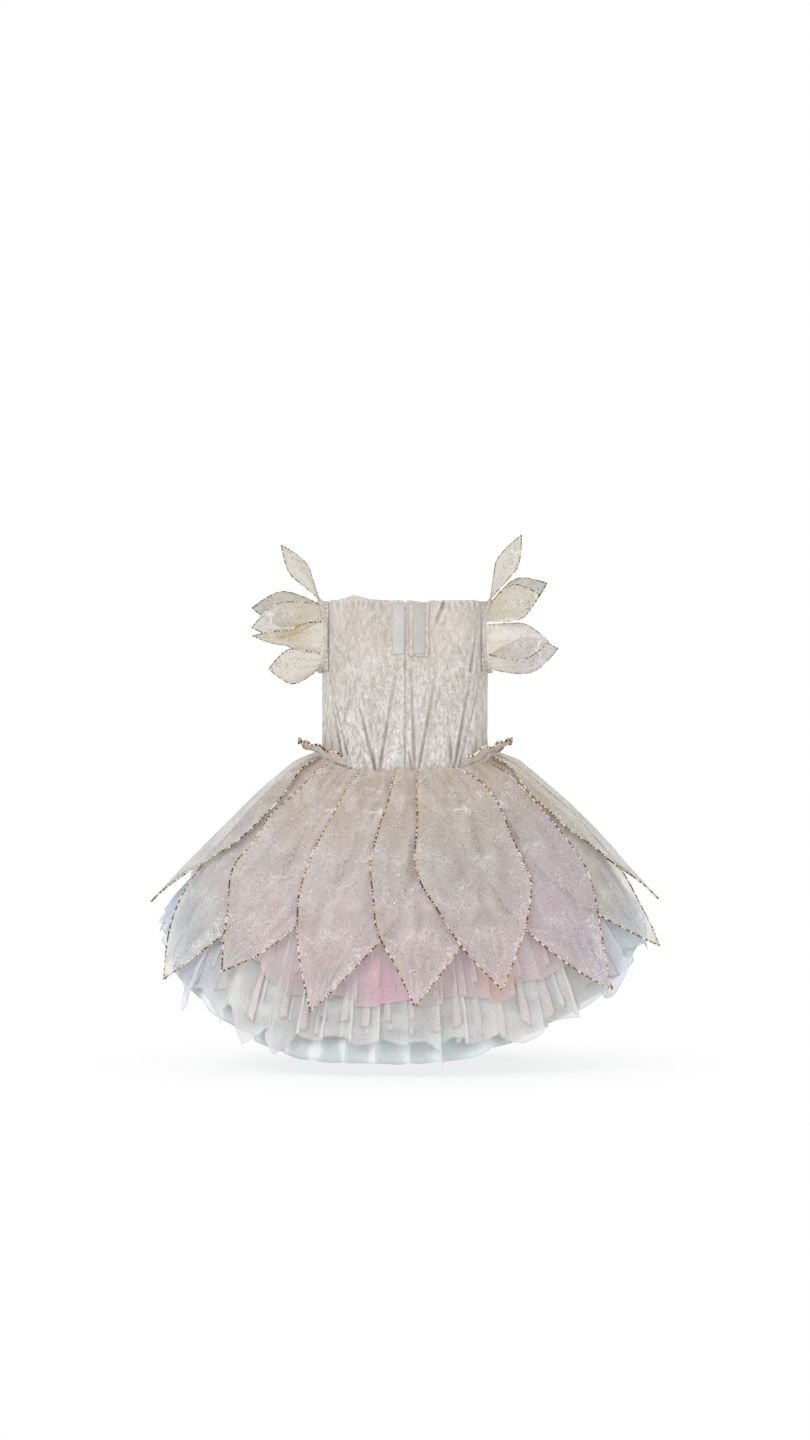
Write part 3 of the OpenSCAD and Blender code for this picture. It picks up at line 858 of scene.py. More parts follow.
class Grower:
    """A Geometry Nodes tree that turns a host mesh into a plain mesh of repeated pieces."""

    def __init__(self, name: str, numbers: dict[str, float], whole: dict[str, int]) -> None:
        """Starts the tree.

        Args:
            name: The tree's name.
            numbers: Named size inputs and their defaults.
            whole: Named whole-number inputs, such as the seed.
        """
        self.tree = bpy.data.node_groups.new(name, "GeometryNodeTree")
        face = self.tree.interface
        face.new_socket("Geometry", in_out="INPUT", socket_type="NodeSocketGeometry")
        self.keys: dict[str, str] = {}
        for label, value in numbers.items():
            socket = face.new_socket(label, in_out="INPUT", socket_type="NodeSocketFloat")
            socket.default_value = value
            self.keys[label] = socket.identifier
        for label, value in whole.items():
            socket = face.new_socket(label, in_out="INPUT", socket_type="NodeSocketInt")
            socket.default_value = value
            self.keys[label] = socket.identifier
        socket = face.new_socket("Material", in_out="INPUT", socket_type="NodeSocketMaterial")
        self.keys["Material"] = socket.identifier
        face.new_socket("Geometry", in_out="OUTPUT", socket_type="NodeSocketGeometry")
        self.nodes = Nodes(self.tree)
        self.given = {s.name: s for s in self.nodes.add("NodeGroupInput").outputs if s.name}
        self.fill(self.nodes, self.given)

    def fill(self, n: Nodes, given: dict) -> None:
        """Adds the tree's own nodes."""
        raise NotImplementedError

    def end(self, geometry: bpy.types.NodeSocket) -> None:
        """Closes the tree: real geometry with its material."""
        real = self.nodes.add("GeometryNodeRealizeInstances", {0: geometry}).outputs[0]
        smooth_shaded = self.nodes.add("GeometryNodeSetShadeSmooth", {"Geometry": real}).outputs[0]
        done = self.nodes.add("GeometryNodeSetMaterial", {"Geometry": smooth_shaded,
                                                          "Material": self.given["Material"]})
        self.nodes.add("NodeGroupOutput", {0: done.outputs[0]})

    def grow(self, name: str, host: bpy.types.Mesh, finish: Finish, **values: float) -> bpy.types.Object:
        """Runs the tree on a host mesh.

        Args:
            name: Name of the finished piece.
            host: The mesh that the pieces grow on or along.
            finish: Their finish.
            values: Values of the named inputs. Underscores stand for spaces.

        Returns:
            The finished plain mesh object.
        """
        carrier = in_scene(bpy.data.objects.new(name + "_host", host))
        modifier = carrier.modifiers.new("Grow", "NODES")
        modifier.node_group = self.tree
        material = finish.build()
        modifier[self.keys["Material"]] = material
        for label, value in values.items():
            modifier[self.keys[label.replace("_", " ")]] = value
        graph = bpy.context.evaluated_depsgraph_get()
        mesh = bpy.data.meshes.new_from_object(carrier.evaluated_get(graph), depsgraph=graph)
        mesh.name = name
        bpy.data.objects.remove(carrier)
        if not mesh.materials:
            mesh.materials.append(material)
        return in_scene(bpy.data.objects.new(name, mesh))


class CordGrower(Grower):
    """Twisted cord along a line."""

    def __init__(self) -> None:
        """Names the cord's sizes."""
        super().__init__("Twisted cord", {"Radius": 1.3 * MM, "Lay": 5 * MM, "Step": 1.3 * MM}, {})

    def fill(self, n: Nodes, given: dict) -> None:
        """Sweeps a two-ply outline, turned along its length."""
        line = n.add("GeometryNodeMeshToCurve", {0: given["Geometry"]}).outputs[0]
        even = n.add("GeometryNodeResampleCurve", {"Curve": line, "Length": given["Step"]}, mode="LENGTH")
        length = n.add("GeometryNodeSplineParameter").outputs["Length"]
        tilt = n.times(n.math("DIVIDE", length, given["Lay"]), 2 * math.pi)
        turned = n.add("GeometryNodeSetCurveTilt", {"Curve": even.outputs[0], "Tilt": tilt}).outputs[0]
        marked = n.marked(turned, "along", length, "POINT")
        ring = n.add("GeometryNodeCurvePrimitiveCircle", {"Resolution": 10, "Radius": 1.0}, mode="RADIUS")
        where = n.add("GeometryNodeInputPosition").outputs[0]
        parts = n.add("ShaderNodeSeparateXYZ", {0: where})
        waist = n.ramp(n.math("ABSOLUTE", parts.outputs[0]), 0.0, 0.8, 0.52, 1.0)
        pulled = n.add("ShaderNodeCombineXYZ", {0: parts.outputs[0],
                                                1: n.times(parts.outputs[1], waist)}).outputs[0]
        outline = n.add("GeometryNodeSetPosition", {
            "Geometry": ring.outputs[0], "Position": n.scaled(pulled, given["Radius"])}).outputs[0]
        swept = n.add("GeometryNodeCurveToMesh",
                      {"Curve": marked, "Profile Curve": outline, "Fill Caps": True})
        self.end(swept.outputs[0])


class GlitterGrower(Grower):
    """Flakes scattered on a sheet, thicker in some places."""

    def __init__(self) -> None:
        """Names the flake's size and how many there are."""
        super().__init__("Glitter flakes", {"Flake": 1.0 * MM, "Density": 9000.0}, {"Seed": 1})

    def fill(self, n: Nodes, given: dict) -> None:
        """Scatters four-sided flakes that lie almost flat."""
        where = n.add("GeometryNodeInputPosition").outputs[0]
        patch = n.noise(where, 26.0)
        density = n.times(given["Density"], n.ramp(patch, 0.5, 0.72, 0.12, 2.2))
        spots = n.add("GeometryNodeDistributePointsOnFaces",
                      {"Mesh": given["Geometry"], "Density": density, "Seed": given["Seed"]})
        lifted = n.add("GeometryNodeSetPosition", {
            "Geometry": spots.outputs["Points"],
            "Offset": n.scaled(spots.outputs["Normal"], 0.35 * MM)}).outputs[0]
        flake = n.add("GeometryNodeMeshCircle", {"Vertices": 4, "Radius": given["Flake"]},
                      fill_type="NGON")
        tilt = n.add("FunctionNodeRandomValue",
                     {0: (-0.35, -0.35, 0.0), 1: (0.35, 0.35, 6.28), 8: given["Seed"]},
                     data_type="FLOAT_VECTOR").outputs[0]
        turn = n.add("FunctionNodeEulerToRotation", {0: tilt}).outputs[0]
        facing = n.add("FunctionNodeRotateRotation", {0: spots.outputs["Rotation"], 1: turn},
                       rotation_space="LOCAL").outputs[0]
        size = n.chance(0.45, 1.0, given["Seed"])
        put = n.add("GeometryNodeInstanceOnPoints", {"Points": lifted, "Instance": flake.outputs[0],
                                                     "Rotation": facing, "Scale": size}).outputs[0]
        # a random tone per flake, from which the Glitter finish paints glints
        self.end(n.marked(put, "tone", n.chance(0.0, 1.0, given["Seed"]), "INSTANCE"))


class StitchGrower(Grower):
    """A row of stitches along a line."""

    def __init__(self) -> None:
        """Names the stitch's sizes."""
        super().__init__("Stitches", {"Step": 3 * MM, "Length": 2 * MM, "Thickness": 0.5 * MM}, {})

    def fill(self, n: Nodes, given: dict) -> None:
        """Puts a small rounded stitch at each step."""
        line = n.add("GeometryNodeMeshToCurve", {0: given["Geometry"]}).outputs[0]
        points = n.add("GeometryNodeCurveToPoints", {"Curve": line, "Length": given["Step"]}, mode="LENGTH")
        ball = n.add("GeometryNodeMeshUVSphere", {"Segments": 6, "Rings": 4, "Radius": 0.5}).outputs[0]
        shape = n.add("ShaderNodeCombineXYZ",
                      {0: given["Thickness"], 1: given["Thickness"], 2: given["Length"]})
        put = n.add("GeometryNodeInstanceOnPoints",
                    {"Points": points.outputs["Points"], "Instance": ball,
                     "Rotation": points.outputs["Rotation"], "Scale": shape.outputs[0]}).outputs[0]
        self.end(put)


class HookGrower(Grower):
    """Rows of small nylon hooks on a tape."""

    def __init__(self) -> None:
        """Names the hook's sizes."""
        super().__init__("Hooks", {"Height": 0.9 * MM, "Wire": 0.16 * MM}, {"Seed": 3})

    def fill(self, n: Nodes, given: dict) -> None:
        """Stands a bent wire on each point of the host."""
        radius = n.times(given["Height"], 0.5)
        bow = n.add("GeometryNodeCurveArc", {"Resolution": 5, "Radius": radius, "Start Angle": 0.0,
                                             "Sweep Angle": 4.2}, mode="RADIUS").outputs[0]
        wire = n.add("GeometryNodeCurvePrimitiveCircle", {"Resolution": 4, "Radius": given["Wire"]},
                     mode="RADIUS").outputs[0]
        hook = n.add("GeometryNodeCurveToMesh",
                     {"Curve": bow, "Profile Curve": wire, "Fill Caps": True}).outputs[0]
        turn = n.chance(0.9, 2.2, given["Seed"])
        spin = n.add("ShaderNodeCombineXYZ", {0: 0.0, 1: 0.0, 2: turn}).outputs[0]
        put = n.add("GeometryNodeInstanceOnPoints", {"Points": given["Geometry"], "Instance": hook,
                                                     "Rotation": spin}).outputs[0]
        self.end(put)


def line_mesh(points: Grid) -> bpy.types.Mesh:
    """An edge chain through points, for a line that pieces grow along."""
    mesh = bpy.data.meshes.new("line")
    mesh.from_pydata(np.asarray(points).tolist(), [(i, i + 1) for i in range(len(points) - 1)], [])
    return mesh


def leaf_edge(start: float, count: int) -> tuple[Grid, Grid]:
    """u and t along the edge of a petal: down one side of it to the tip, and up the other."""
    t = np.linspace(start, 1, count)
    return np.repeat([-1.0, 1.0], count), np.concatenate([t, t[::-1]])


def side_name(side: int) -> str:
    """Name of the side that a sign stands for."""
    return "left" if side < 0 else "right"


# ---- the dress ----


class Held(Enum):
    """How a piece of cloth is held."""

    GATHERED = "gathered"
    STRETCHED = "stretched"
    HUNG = "hung"
    FOLDED = "folded"


@dataclass
class Tailor:
    """What every sub-assembly needs: the cut, the shared folds and the growers."""

    cut: DressCut
    cord: CordGrower
    glitter: GlitterGrower
    stitch: StitchGrower
    hook: HookGrower
    count: int = 0

    def place(self, obj: bpy.types.Object, body: str, finish: Finish | None, slot: str,
              nodes: tuple[str, ...] = ()) -> bpy.types.Object:
        """Finishes a piece: its material, body and the nodes that it stands for."""
        if finish is not None:
            obj.data.materials.clear()
            obj.data.materials.append(finish.build())
        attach(obj, body)
        if nodes:
            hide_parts(*nodes)
        self.count += 1
        log.info("%-26s rides %-22s %6d faces", obj.name, body, len(obj.data.polygons))
        return obj

    def grow(self, grower: Grower, name: str, host: bpy.types.Mesh, finish: Finish, body: str,
             slot: str, nodes: tuple[str, ...] = (), **values: float) -> None:
        """Grows repeated pieces on a host mesh, and finishes them as one piece."""
        self.place(grower.grow(name, host, finish, **values), body, None, slot, nodes)

    def cloth(self, fabric: Fabric, body: str, finish: Finish, slot: str, held: Held,
              nodes: tuple[str, ...] = (), rests_on: tuple[str, ...] = ()) -> bpy.types.Object:
        obj = self.place(fabric.build(), body, finish, slot, nodes)
        width, length, area = fabric.cut()
        area = min(max(area, 0.3 * width * length), width * length)
        log.info("%-26s cut %.0f x %.0f mm", obj.name, width / MM, length / MM)
        return obj

    def skirt_folds(self, g: Grid, s: Grid) -> Grid:
        """Folds that all the skirt's layers share: gathers at the seam and long soft ridges."""
        ridge = Crumple(11, (58 * MM, 900 * MM), 8)(g, s)
        broad = Crumple(12, (120 * MM, 300 * MM), 5)(g, s)
        pleat = np.sin(2 * math.pi * g / (8.9 * MM) + 2.5 * Crumple(13, (40 * MM, 200 * MM), 4)(g, s))
        grown = smooth(20 * MM, 200 * MM, s)
        gathered = 1 - smooth(0, 70 * MM, s)
        return grown * (3.2 * MM * ridge + 2.5 * MM * broad) + 0.9 * MM * pleat * gathered


@dataclass
class Bodice:
    """Five velvet panels with their lining, neck elastic, waist stay and stitching."""

    tailor: Tailor
    velvet: Finish
    lining: Finish
    elastic: Finish
    thread: Finish
    velvet_t: float = 1.6 * MM
    lining_t: float = 0.8 * MM
    ply_gap: float = 0.5 * MM
    seam_gap: float = 0.4 * MM
    column: float = 1.25 * MM
    row: float = 2.1 * MM
    casing_h: float = 9 * MM
    elastic_h: float = 8 * MM
    stitch_inset: float = 3.4 * MM
    stay_low: float = 2 * MM
    stay_high: float = 20 * MM
    creases: tuple[tuple[float, float, float, float, float, float], ...] = (
        (76, -14, 110, 168, 4.0, 2.5), (104, 150, 120, 232, 2.4, 2.6), (-96, -8, -124, 124, 3.6, 2.5),
        (-96, -8, -88, 84, 2.4, 2.2), (-44, -14, -78, 112, 3.6, 2.3), (-42, -14, -9, 174, 3.6, 2.3),
        (-47, -14, -58, 120, 2.2, 2.1), (16, -14, 9, 166, 3.4, 2.3), (20, -14, 52, 156, 3.4, 2.3),
        (14, -14, -8, 76, 2.4, 2.1), (76, -14, 66, 104, 2.4, 2.1), (77, -14, 94, 72, 2.4, 2.1),
        (62, 257, 21, 168, 3.0, 3.2), (-100, 60, -60, 190, 1.8, 5), (-112, 186, -72, 150, 1.6, 4),
        (-24, 232, -34, 150, 1.4, 4))

    def relief(self, g: Grid, z: Grid) -> Grid:
        """How far the velvet stands out from the smooth bodice: gathers, crumples and creases."""
        cut = self.tailor.cut
        top = cut.neck_z - z
        low = z + cut.waist_dip
        fan = g / (1 + 0.22 * low / (cut.neck_z - cut.underarm_z + 100 * MM))
        gather = np.sin(2 * math.pi * g / (10.5 * MM) + 2.2 * Crumple(21, (60 * MM, 60 * MM), 4)(g, z))
        height = 1.5 * MM * gather * (1 - smooth(2 * MM, 24 * MM, top)) * smooth(-2 * MM, 6 * MM, top)
        pinch = np.sin(2 * math.pi * fan / (23 * MM) + 2.4 * Crumple(22, (80 * MM, 200 * MM), 4)(g, z))
        height = height + 2.0 * MM * pinch * (1 - smooth(0, 95 * MM, low))
        height = height + 1.3 * MM * Crumple(23, (38 * MM, 120 * MM), 9)(g, z)
        height = height + 0.3 * MM * Crumple(24, (9 * MM, 22 * MM), 12)(g, z)
        for g0, z0, g1, z1, depth, width in self.creases:
            height = height - self._crease(g, z, (g0, z0, g1, z1), depth, width)
        taped = (smooth(-34 * MM, -22 * MM, g) * (1 - smooth(42 * MM, 52 * MM, g))
                 * smooth(150 * MM, 172 * MM, z))
        return lerp(height, np.minimum(height, 0) * 0.25 - 0.3 * MM, taped)

    @staticmethod
    def _crease(g: Grid, z: Grid, line: tuple[float, float, float, float], depth: float,
                width: float) -> Grid:
        """Depth of a narrow fold along a line, with a soft ridge on each side. Sizes in mm."""
        g0, z0, g1, z1 = (v * MM for v in line)
        dx, dz = g1 - g0, z1 - z0
        t = ((g - g0) * dx + (z - z0) * dz) / (dx * dx + dz * dz)
        away = np.hypot(g - g0 - np.clip(t, 0, 1) * dx, z - z0 - np.clip(t, 0, 1) * dz) / (width * MM)
        fade = (1 - np.clip(t, 0, 1)) ** 0.6
        return depth * MM * fade * (np.exp(-away ** 2) - 0.45 * np.exp(-(away - 2.0) ** 2))

    def lift(self, g: Grid, f: Grid) -> Grid:
        """How far the neckline rises or dips: a gather that stands up and a notch by the opening."""
        g = self.tailor.cut.wrapped(g)
        wobble = 1.0 * MM * Crumple(25, (24 * MM, 100 * MM), 6)(g, 0 * g)
        stand = 7.5 * MM * np.exp(-((g + 78 * MM) / (20 * MM)) ** 2)
        notch = 5.0 * MM * np.exp(-((g - 30 * MM) / (9 * MM)) ** 2)
        return (wobble + stand - notch) * smooth(1.55, 2.0, f)

    def panel(self, edge_a: Callable[[Grid], Grid], edge_b: Callable[[Grid], Grid], top: float,
              off: float, thick: float) -> tuple[Grid, Grid, Grid]:
        """Outer and inner grids of a panel between two seam edges, and how hollow each point is."""
        cut = self.tailor.cut
        f = np.linspace(top, 0, int((cut.neck_z if top > 1 else cut.underarm_z) / self.row))[:, None]
        a, b = edge_a(f), edge_b(f)
        across = np.linspace(0, 1, max(8, int(float(np.max(b - a)) / self.column)))[None, :]
        g = lerp(a, b, across)
        lift = self.lift(g, f)
        z = cut.bodice(g, f, 0.0, lift)[..., 2]
        signed = cut.wrapped(g)
        seam = np.minimum(g - a, b - g)
        dip = -1.3 * MM * np.exp(-(seam / (2.2 * MM)) ** 2)
        rounded = -0.9 * MM * (1 - smooth(0, 2.5 * MM, (top - f) * (cut.neck_z - cut.underarm_z)))
        height = self.relief(signed, z) * smooth(0, 5 * MM, seam) + dip + rounded
        return (cut.bodice(g, f, off + height, lift), cut.bodice(g, f, off - thick + height, lift),
                hollows(height, 5, 2.0 * MM))

    def edges(self) -> dict[str, tuple[Callable, Callable, float]]:
        """The five panels: name to its two edges and its top row."""
        cut, gap = self.tailor.cut, self.seam_gap / 2
        slit_low = cut.neck_z - cut.slit_h

        def slit(f: Grid) -> Grid:
            """Half width of the centre-back opening."""
            z = lerp(-cut.waist_dip, cut.underarm_z, np.minimum(f, 1)) \
                + (cut.neck_z - cut.underarm_z) * np.maximum(f - 1, 0)
            return gap + np.maximum(0, z - slit_low) / cut.slit_h * cut.slit_w / 2

        front, seam = 2 * cut.quarter, cut.seam_g
        return {
            "bodice_back_right": (slit, lambda f: seam(f) - gap, 2.0),
            "bodice_back_left": (lambda f: gap - seam(f), lambda f: -slit(f), 2.0),
            "bodice_side_right": (lambda f: seam(f) + gap, lambda f: front - seam(f) - gap, 1.0),
            "bodice_side_left": (lambda f: seam(f) + gap - front, lambda f: -seam(f) - gap, 1.0),
            "bodice_front": (lambda f: front - seam(f) + gap, lambda f: front + seam(f) - gap, 2.0),
        }

    def build(self) -> None:
        """Makes the panels and everything sewn inside them."""
        inside = []
        for name, (a, b, top) in self.edges().items():
            outer, inner, hollow = self.panel(a, b, top, 0.0, self.velvet_t)
            fabric = Fabric(name + "_velvet", outer, cloth_uv(outer), inner, hollow=hollow)
            self.tailor.cloth(fabric, "dress", self.velvet, "velvet", Held.GATHERED, (name,))
            off = -self.velvet_t - self.ply_gap
            inside.append((name, *self.panel(a, b, top, off, self.lining_t)[:2]))
        for number, (name, outer, inner) in enumerate(inside):
            self.tailor.cloth(Fabric(name.replace("bodice", "lining"), outer, cloth_uv(outer), inner),
                              "dress", self.lining, "lining", Held.STRETCHED,
                              ("bodice_lining",) if number == 0 else ())
        self._bands()
        self._stitching()

    def _bands(self) -> None:
        """Neck elastic and waist stay, inside the lining."""
        cut = self.tailor.cut
        off = -self.velvet_t - self.lining_t - 2 * self.ply_gap
        front = 2 * cut.quarter
        reach = cut.armhole_g - 2 * MM
        high = cut.neck_z - 2 * MM
        runs = ((front - reach, front + reach), (cut.slit_w, reach), (-reach, -cut.slit_w))
        for number, (start, stop) in enumerate(runs):
            g = np.linspace(start, stop, int((stop - start) / (1.8 * MM)))[None, :]
            z = np.linspace(high, high - self.elastic_h, 5)[:, None]
            height = self.relief(cut.wrapped(g), z + 0 * g) + 0.12 * MM * np.sin(g / (1.1 * MM))
            fabric = self._band(f"neck_elastic_{number + 1}", g, z + self.lift(g, 2.0 + 0 * z), off, height)
            self.tailor.place(fabric.build(), "dress", self.elastic, "elastic",
                              ("neck_elastic",) if number == 0 else ())
        g = np.linspace(-front, front, 260)[None, :]
        z = cut.waist_z(g) + np.linspace(self.stay_high, self.stay_low, 8)[:, None]
        height = self.relief(cut.wrapped(g), z)
        fabric = self._band("waist_stay_tape", g, z, off - 0.2 * MM, height, wrap=True)
        self.tailor.cloth(fabric, "dress", replace(self.elastic, name="Stay tape"), "elastic",
                          Held.STRETCHED, ("waist_stay",))

    def _band(self, name: str, g: Grid, z: Grid, off: float, height: Grid, wrap: bool = False) -> Fabric:
        """A thin band inside the bodice."""
        x, y = self.tailor.cut.oval(g + 0 * z, off + height)
        xi, yi = self.tailor.cut.oval(g + 0 * z, off - 1 * MM + height)
        outer, inner = np.stack([x, y, z + 0 * g], -1), np.stack([xi, yi, z + 0 * g], -1)
        return Fabric(name, outer, cloth_uv(outer), inner, wrap)

    def _stitching(self) -> None:
        """Rows of stitches: the neck casing and both sides of the side-back seams."""
        cut = self.tailor.cut
        lines = []
        front, edge, inset = 2 * cut.quarter, cut.armhole_g, 3 * MM
        for start, stop in ((inset, edge - inset), (inset - edge, -inset),
                            (front - edge + inset, front + edge - inset)):
            g = np.linspace(start, stop, 120)
            f = np.full_like(g, 2 - self.casing_h / (cut.neck_z - cut.underarm_z))
            lines.append((g, f))
        for side in (-1, 1):
            f = np.linspace(0.02, 1.96, 100)
            lines.append((side * (cut.seam_g(f) - self.stitch_inset), f))
        for number, (g, f) in enumerate(lines):
            lift = self.lift(g, f)
            z = cut.bodice(g, f, 0.0, lift)[..., 2]
            points = cut.bodice(g, f, self.relief(cut.wrapped(g), z) + 0.1 * MM, lift)
            self.tailor.grow(self.tailor.stitch, f"bodice_stitches_{number + 1}", line_mesh(points),
                             self.thread, "dress", "velvet",
                             Step=3.2 * MM, Length=2.2 * MM, Thickness=0.55 * MM)


@dataclass
class Closure:
    """Loop tape on the left of the opening, and the folded flap with its hook tape."""

    tailor: Tailor
    loop: Finish
    hook: Finish
    velvet: Finish
    thread: Finish
    bristle: Finish

    def build(self) -> None:
        """Makes both tapes and the flap from their packed boxes."""
        self._tape("loop_tape", "dress", self.loop, "loop_tape", 0.0)
        self._tape("hook_tape", "closure_flap", self.hook, "hook_tape", 1.0)
        self._flap()
        self._hooks()

    def _tape(self, node: str, body: str, finish: Finish, slot: str, lean: float) -> None:
        """A woven tape with softened edges, sewn down all round."""
        low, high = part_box(node)
        u = np.linspace(0, 1, 14)[None, :]
        t = np.linspace(0, 1, 40)[:, None]
        x = lerp(low.x, high.x, u) + 0.25 * MM * np.sin(9 * t + u) + 0 * t
        z = lerp(high.z, low.z, t) + 0.25 * MM * np.sin(7 * u + 2 * t)
        edge = np.minimum(np.minimum(u, 1 - u) * (high.x - low.x), np.minimum(t, 1 - t) * (high.z - low.z))
        rounded = 0.7 * MM * (1 - smooth(0, 1.6 * MM, edge))
        crown = rounded + 0.25 * MM * Crumple(41, (30 * MM, 60 * MM))(x, z)
        outer = np.stack([x, low.y + crown, z], -1)
        inner = np.stack([x, np.maximum(high.y + 0 * crown, outer[..., 1] + 0.2 * MM), z], -1)
        fabric = Fabric(node + "_woven", outer, cloth_uv(outer), inner)
        self.tailor.cloth(fabric, body, finish, slot, Held.STRETCHED, (node,))
        inset = 1.7 * MM
        corner = [(low.x + inset, high.z - inset), (low.x + inset, low.z + inset),
                  (high.x - inset, low.z + inset), (high.x - inset, high.z - inset),
                  (low.x + inset, high.z - inset)]
        path = np.array([(px, low.y + 0.1 * MM, pz) for px, pz in corner])
        self.tailor.grow(self.tailor.stitch, node + "_stitches", line_mesh(path), self.thread, body,
                         slot, Step=2.6 * MM, Length=1.9 * MM, Thickness=0.45 * MM)

    def _flap(self) -> None:
        """The velvet that is folded back under the hook tape."""
        low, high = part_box("placket_flap")
        u = np.linspace(0, 1, 22)[None, :]
        t = np.linspace(0, 1, 50)[:, None]
        x = lerp(low.x, high.x, u) + 0.5 * MM * np.sin(8 * t + 1) * u
        z = lerp(high.z, low.z, t) + 0.6 * MM * np.sin(5 * u) + 0 * x
        crumple = 0.1 * MM * Crumple(42, (12 * MM, 20 * MM))(x, z)
        outer = np.stack([x, low.y + 0.15 * MM + crumple, z], -1)
        inner = np.stack([x, high.y + 0 * crumple, z], -1)
        self.tailor.cloth(Fabric("closure_flap_velvet", outer, cloth_uv(outer), inner), "closure_flap",
                          self.velvet, "velvet", Held.FOLDED, ("placket_flap",))

    def _hooks(self) -> None:
        """Rows of nylon hooks over the hook tape."""
        low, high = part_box("hook_tape")
        margin, step = 2.6 * MM, 1.45 * MM
        xs = np.arange(low.x + margin, high.x - margin, step)
        zs = np.arange(low.z + margin, high.z - margin, step * 1.15)
        x, z = np.meshgrid(xs, zs)
        mesh = bpy.data.meshes.new("hook rows")
        mesh.from_pydata(np.stack([x, 0 * x + low.y + 0.1 * MM, z], -1).reshape(-1, 3).tolist(), [], [])
        self.tailor.grow(self.tailor.hook, "hook_tape_hooks", mesh, self.bristle, "closure_flap",
                         "hook_tape", Height=0.4 * MM)


@dataclass(frozen=True)
class LeafCut:
    """Outline of a petal: its width down its length as a share of its widest."""

    top: float
    peak: float = 0.56
    tip: float = 0.025

    def width(self, t: Grid) -> Grid:
        """Share of the full width at t, from 0 at the seam to 1 at the tip."""
        t = np.asarray(t, float)
        rise = self.top + (1 - self.top) * np.sin(math.pi / 2 * np.clip(t / self.peak, 0, 1))
        fall = 1 - (np.clip(t - self.peak, 0, 1) / (1 - self.peak)) ** 1.5
        return np.where(t < self.peak, rise, np.maximum(self.tip, fall))

    def uv(self, u: Grid, t: Grid, width: float, length: float) -> Grid:
        """Flat place of each point of a petal, in metres."""
        return np.stack([u * width / 2 * self.width(t), t * length + 0 * u], -1)


@dataclass(frozen=True)
class PetalPlan:
    """One skirt petal: its place in quarters of the waist, its lean, length and layer."""

    name: str
    place: float
    lean: float
    length: float
    layer: int


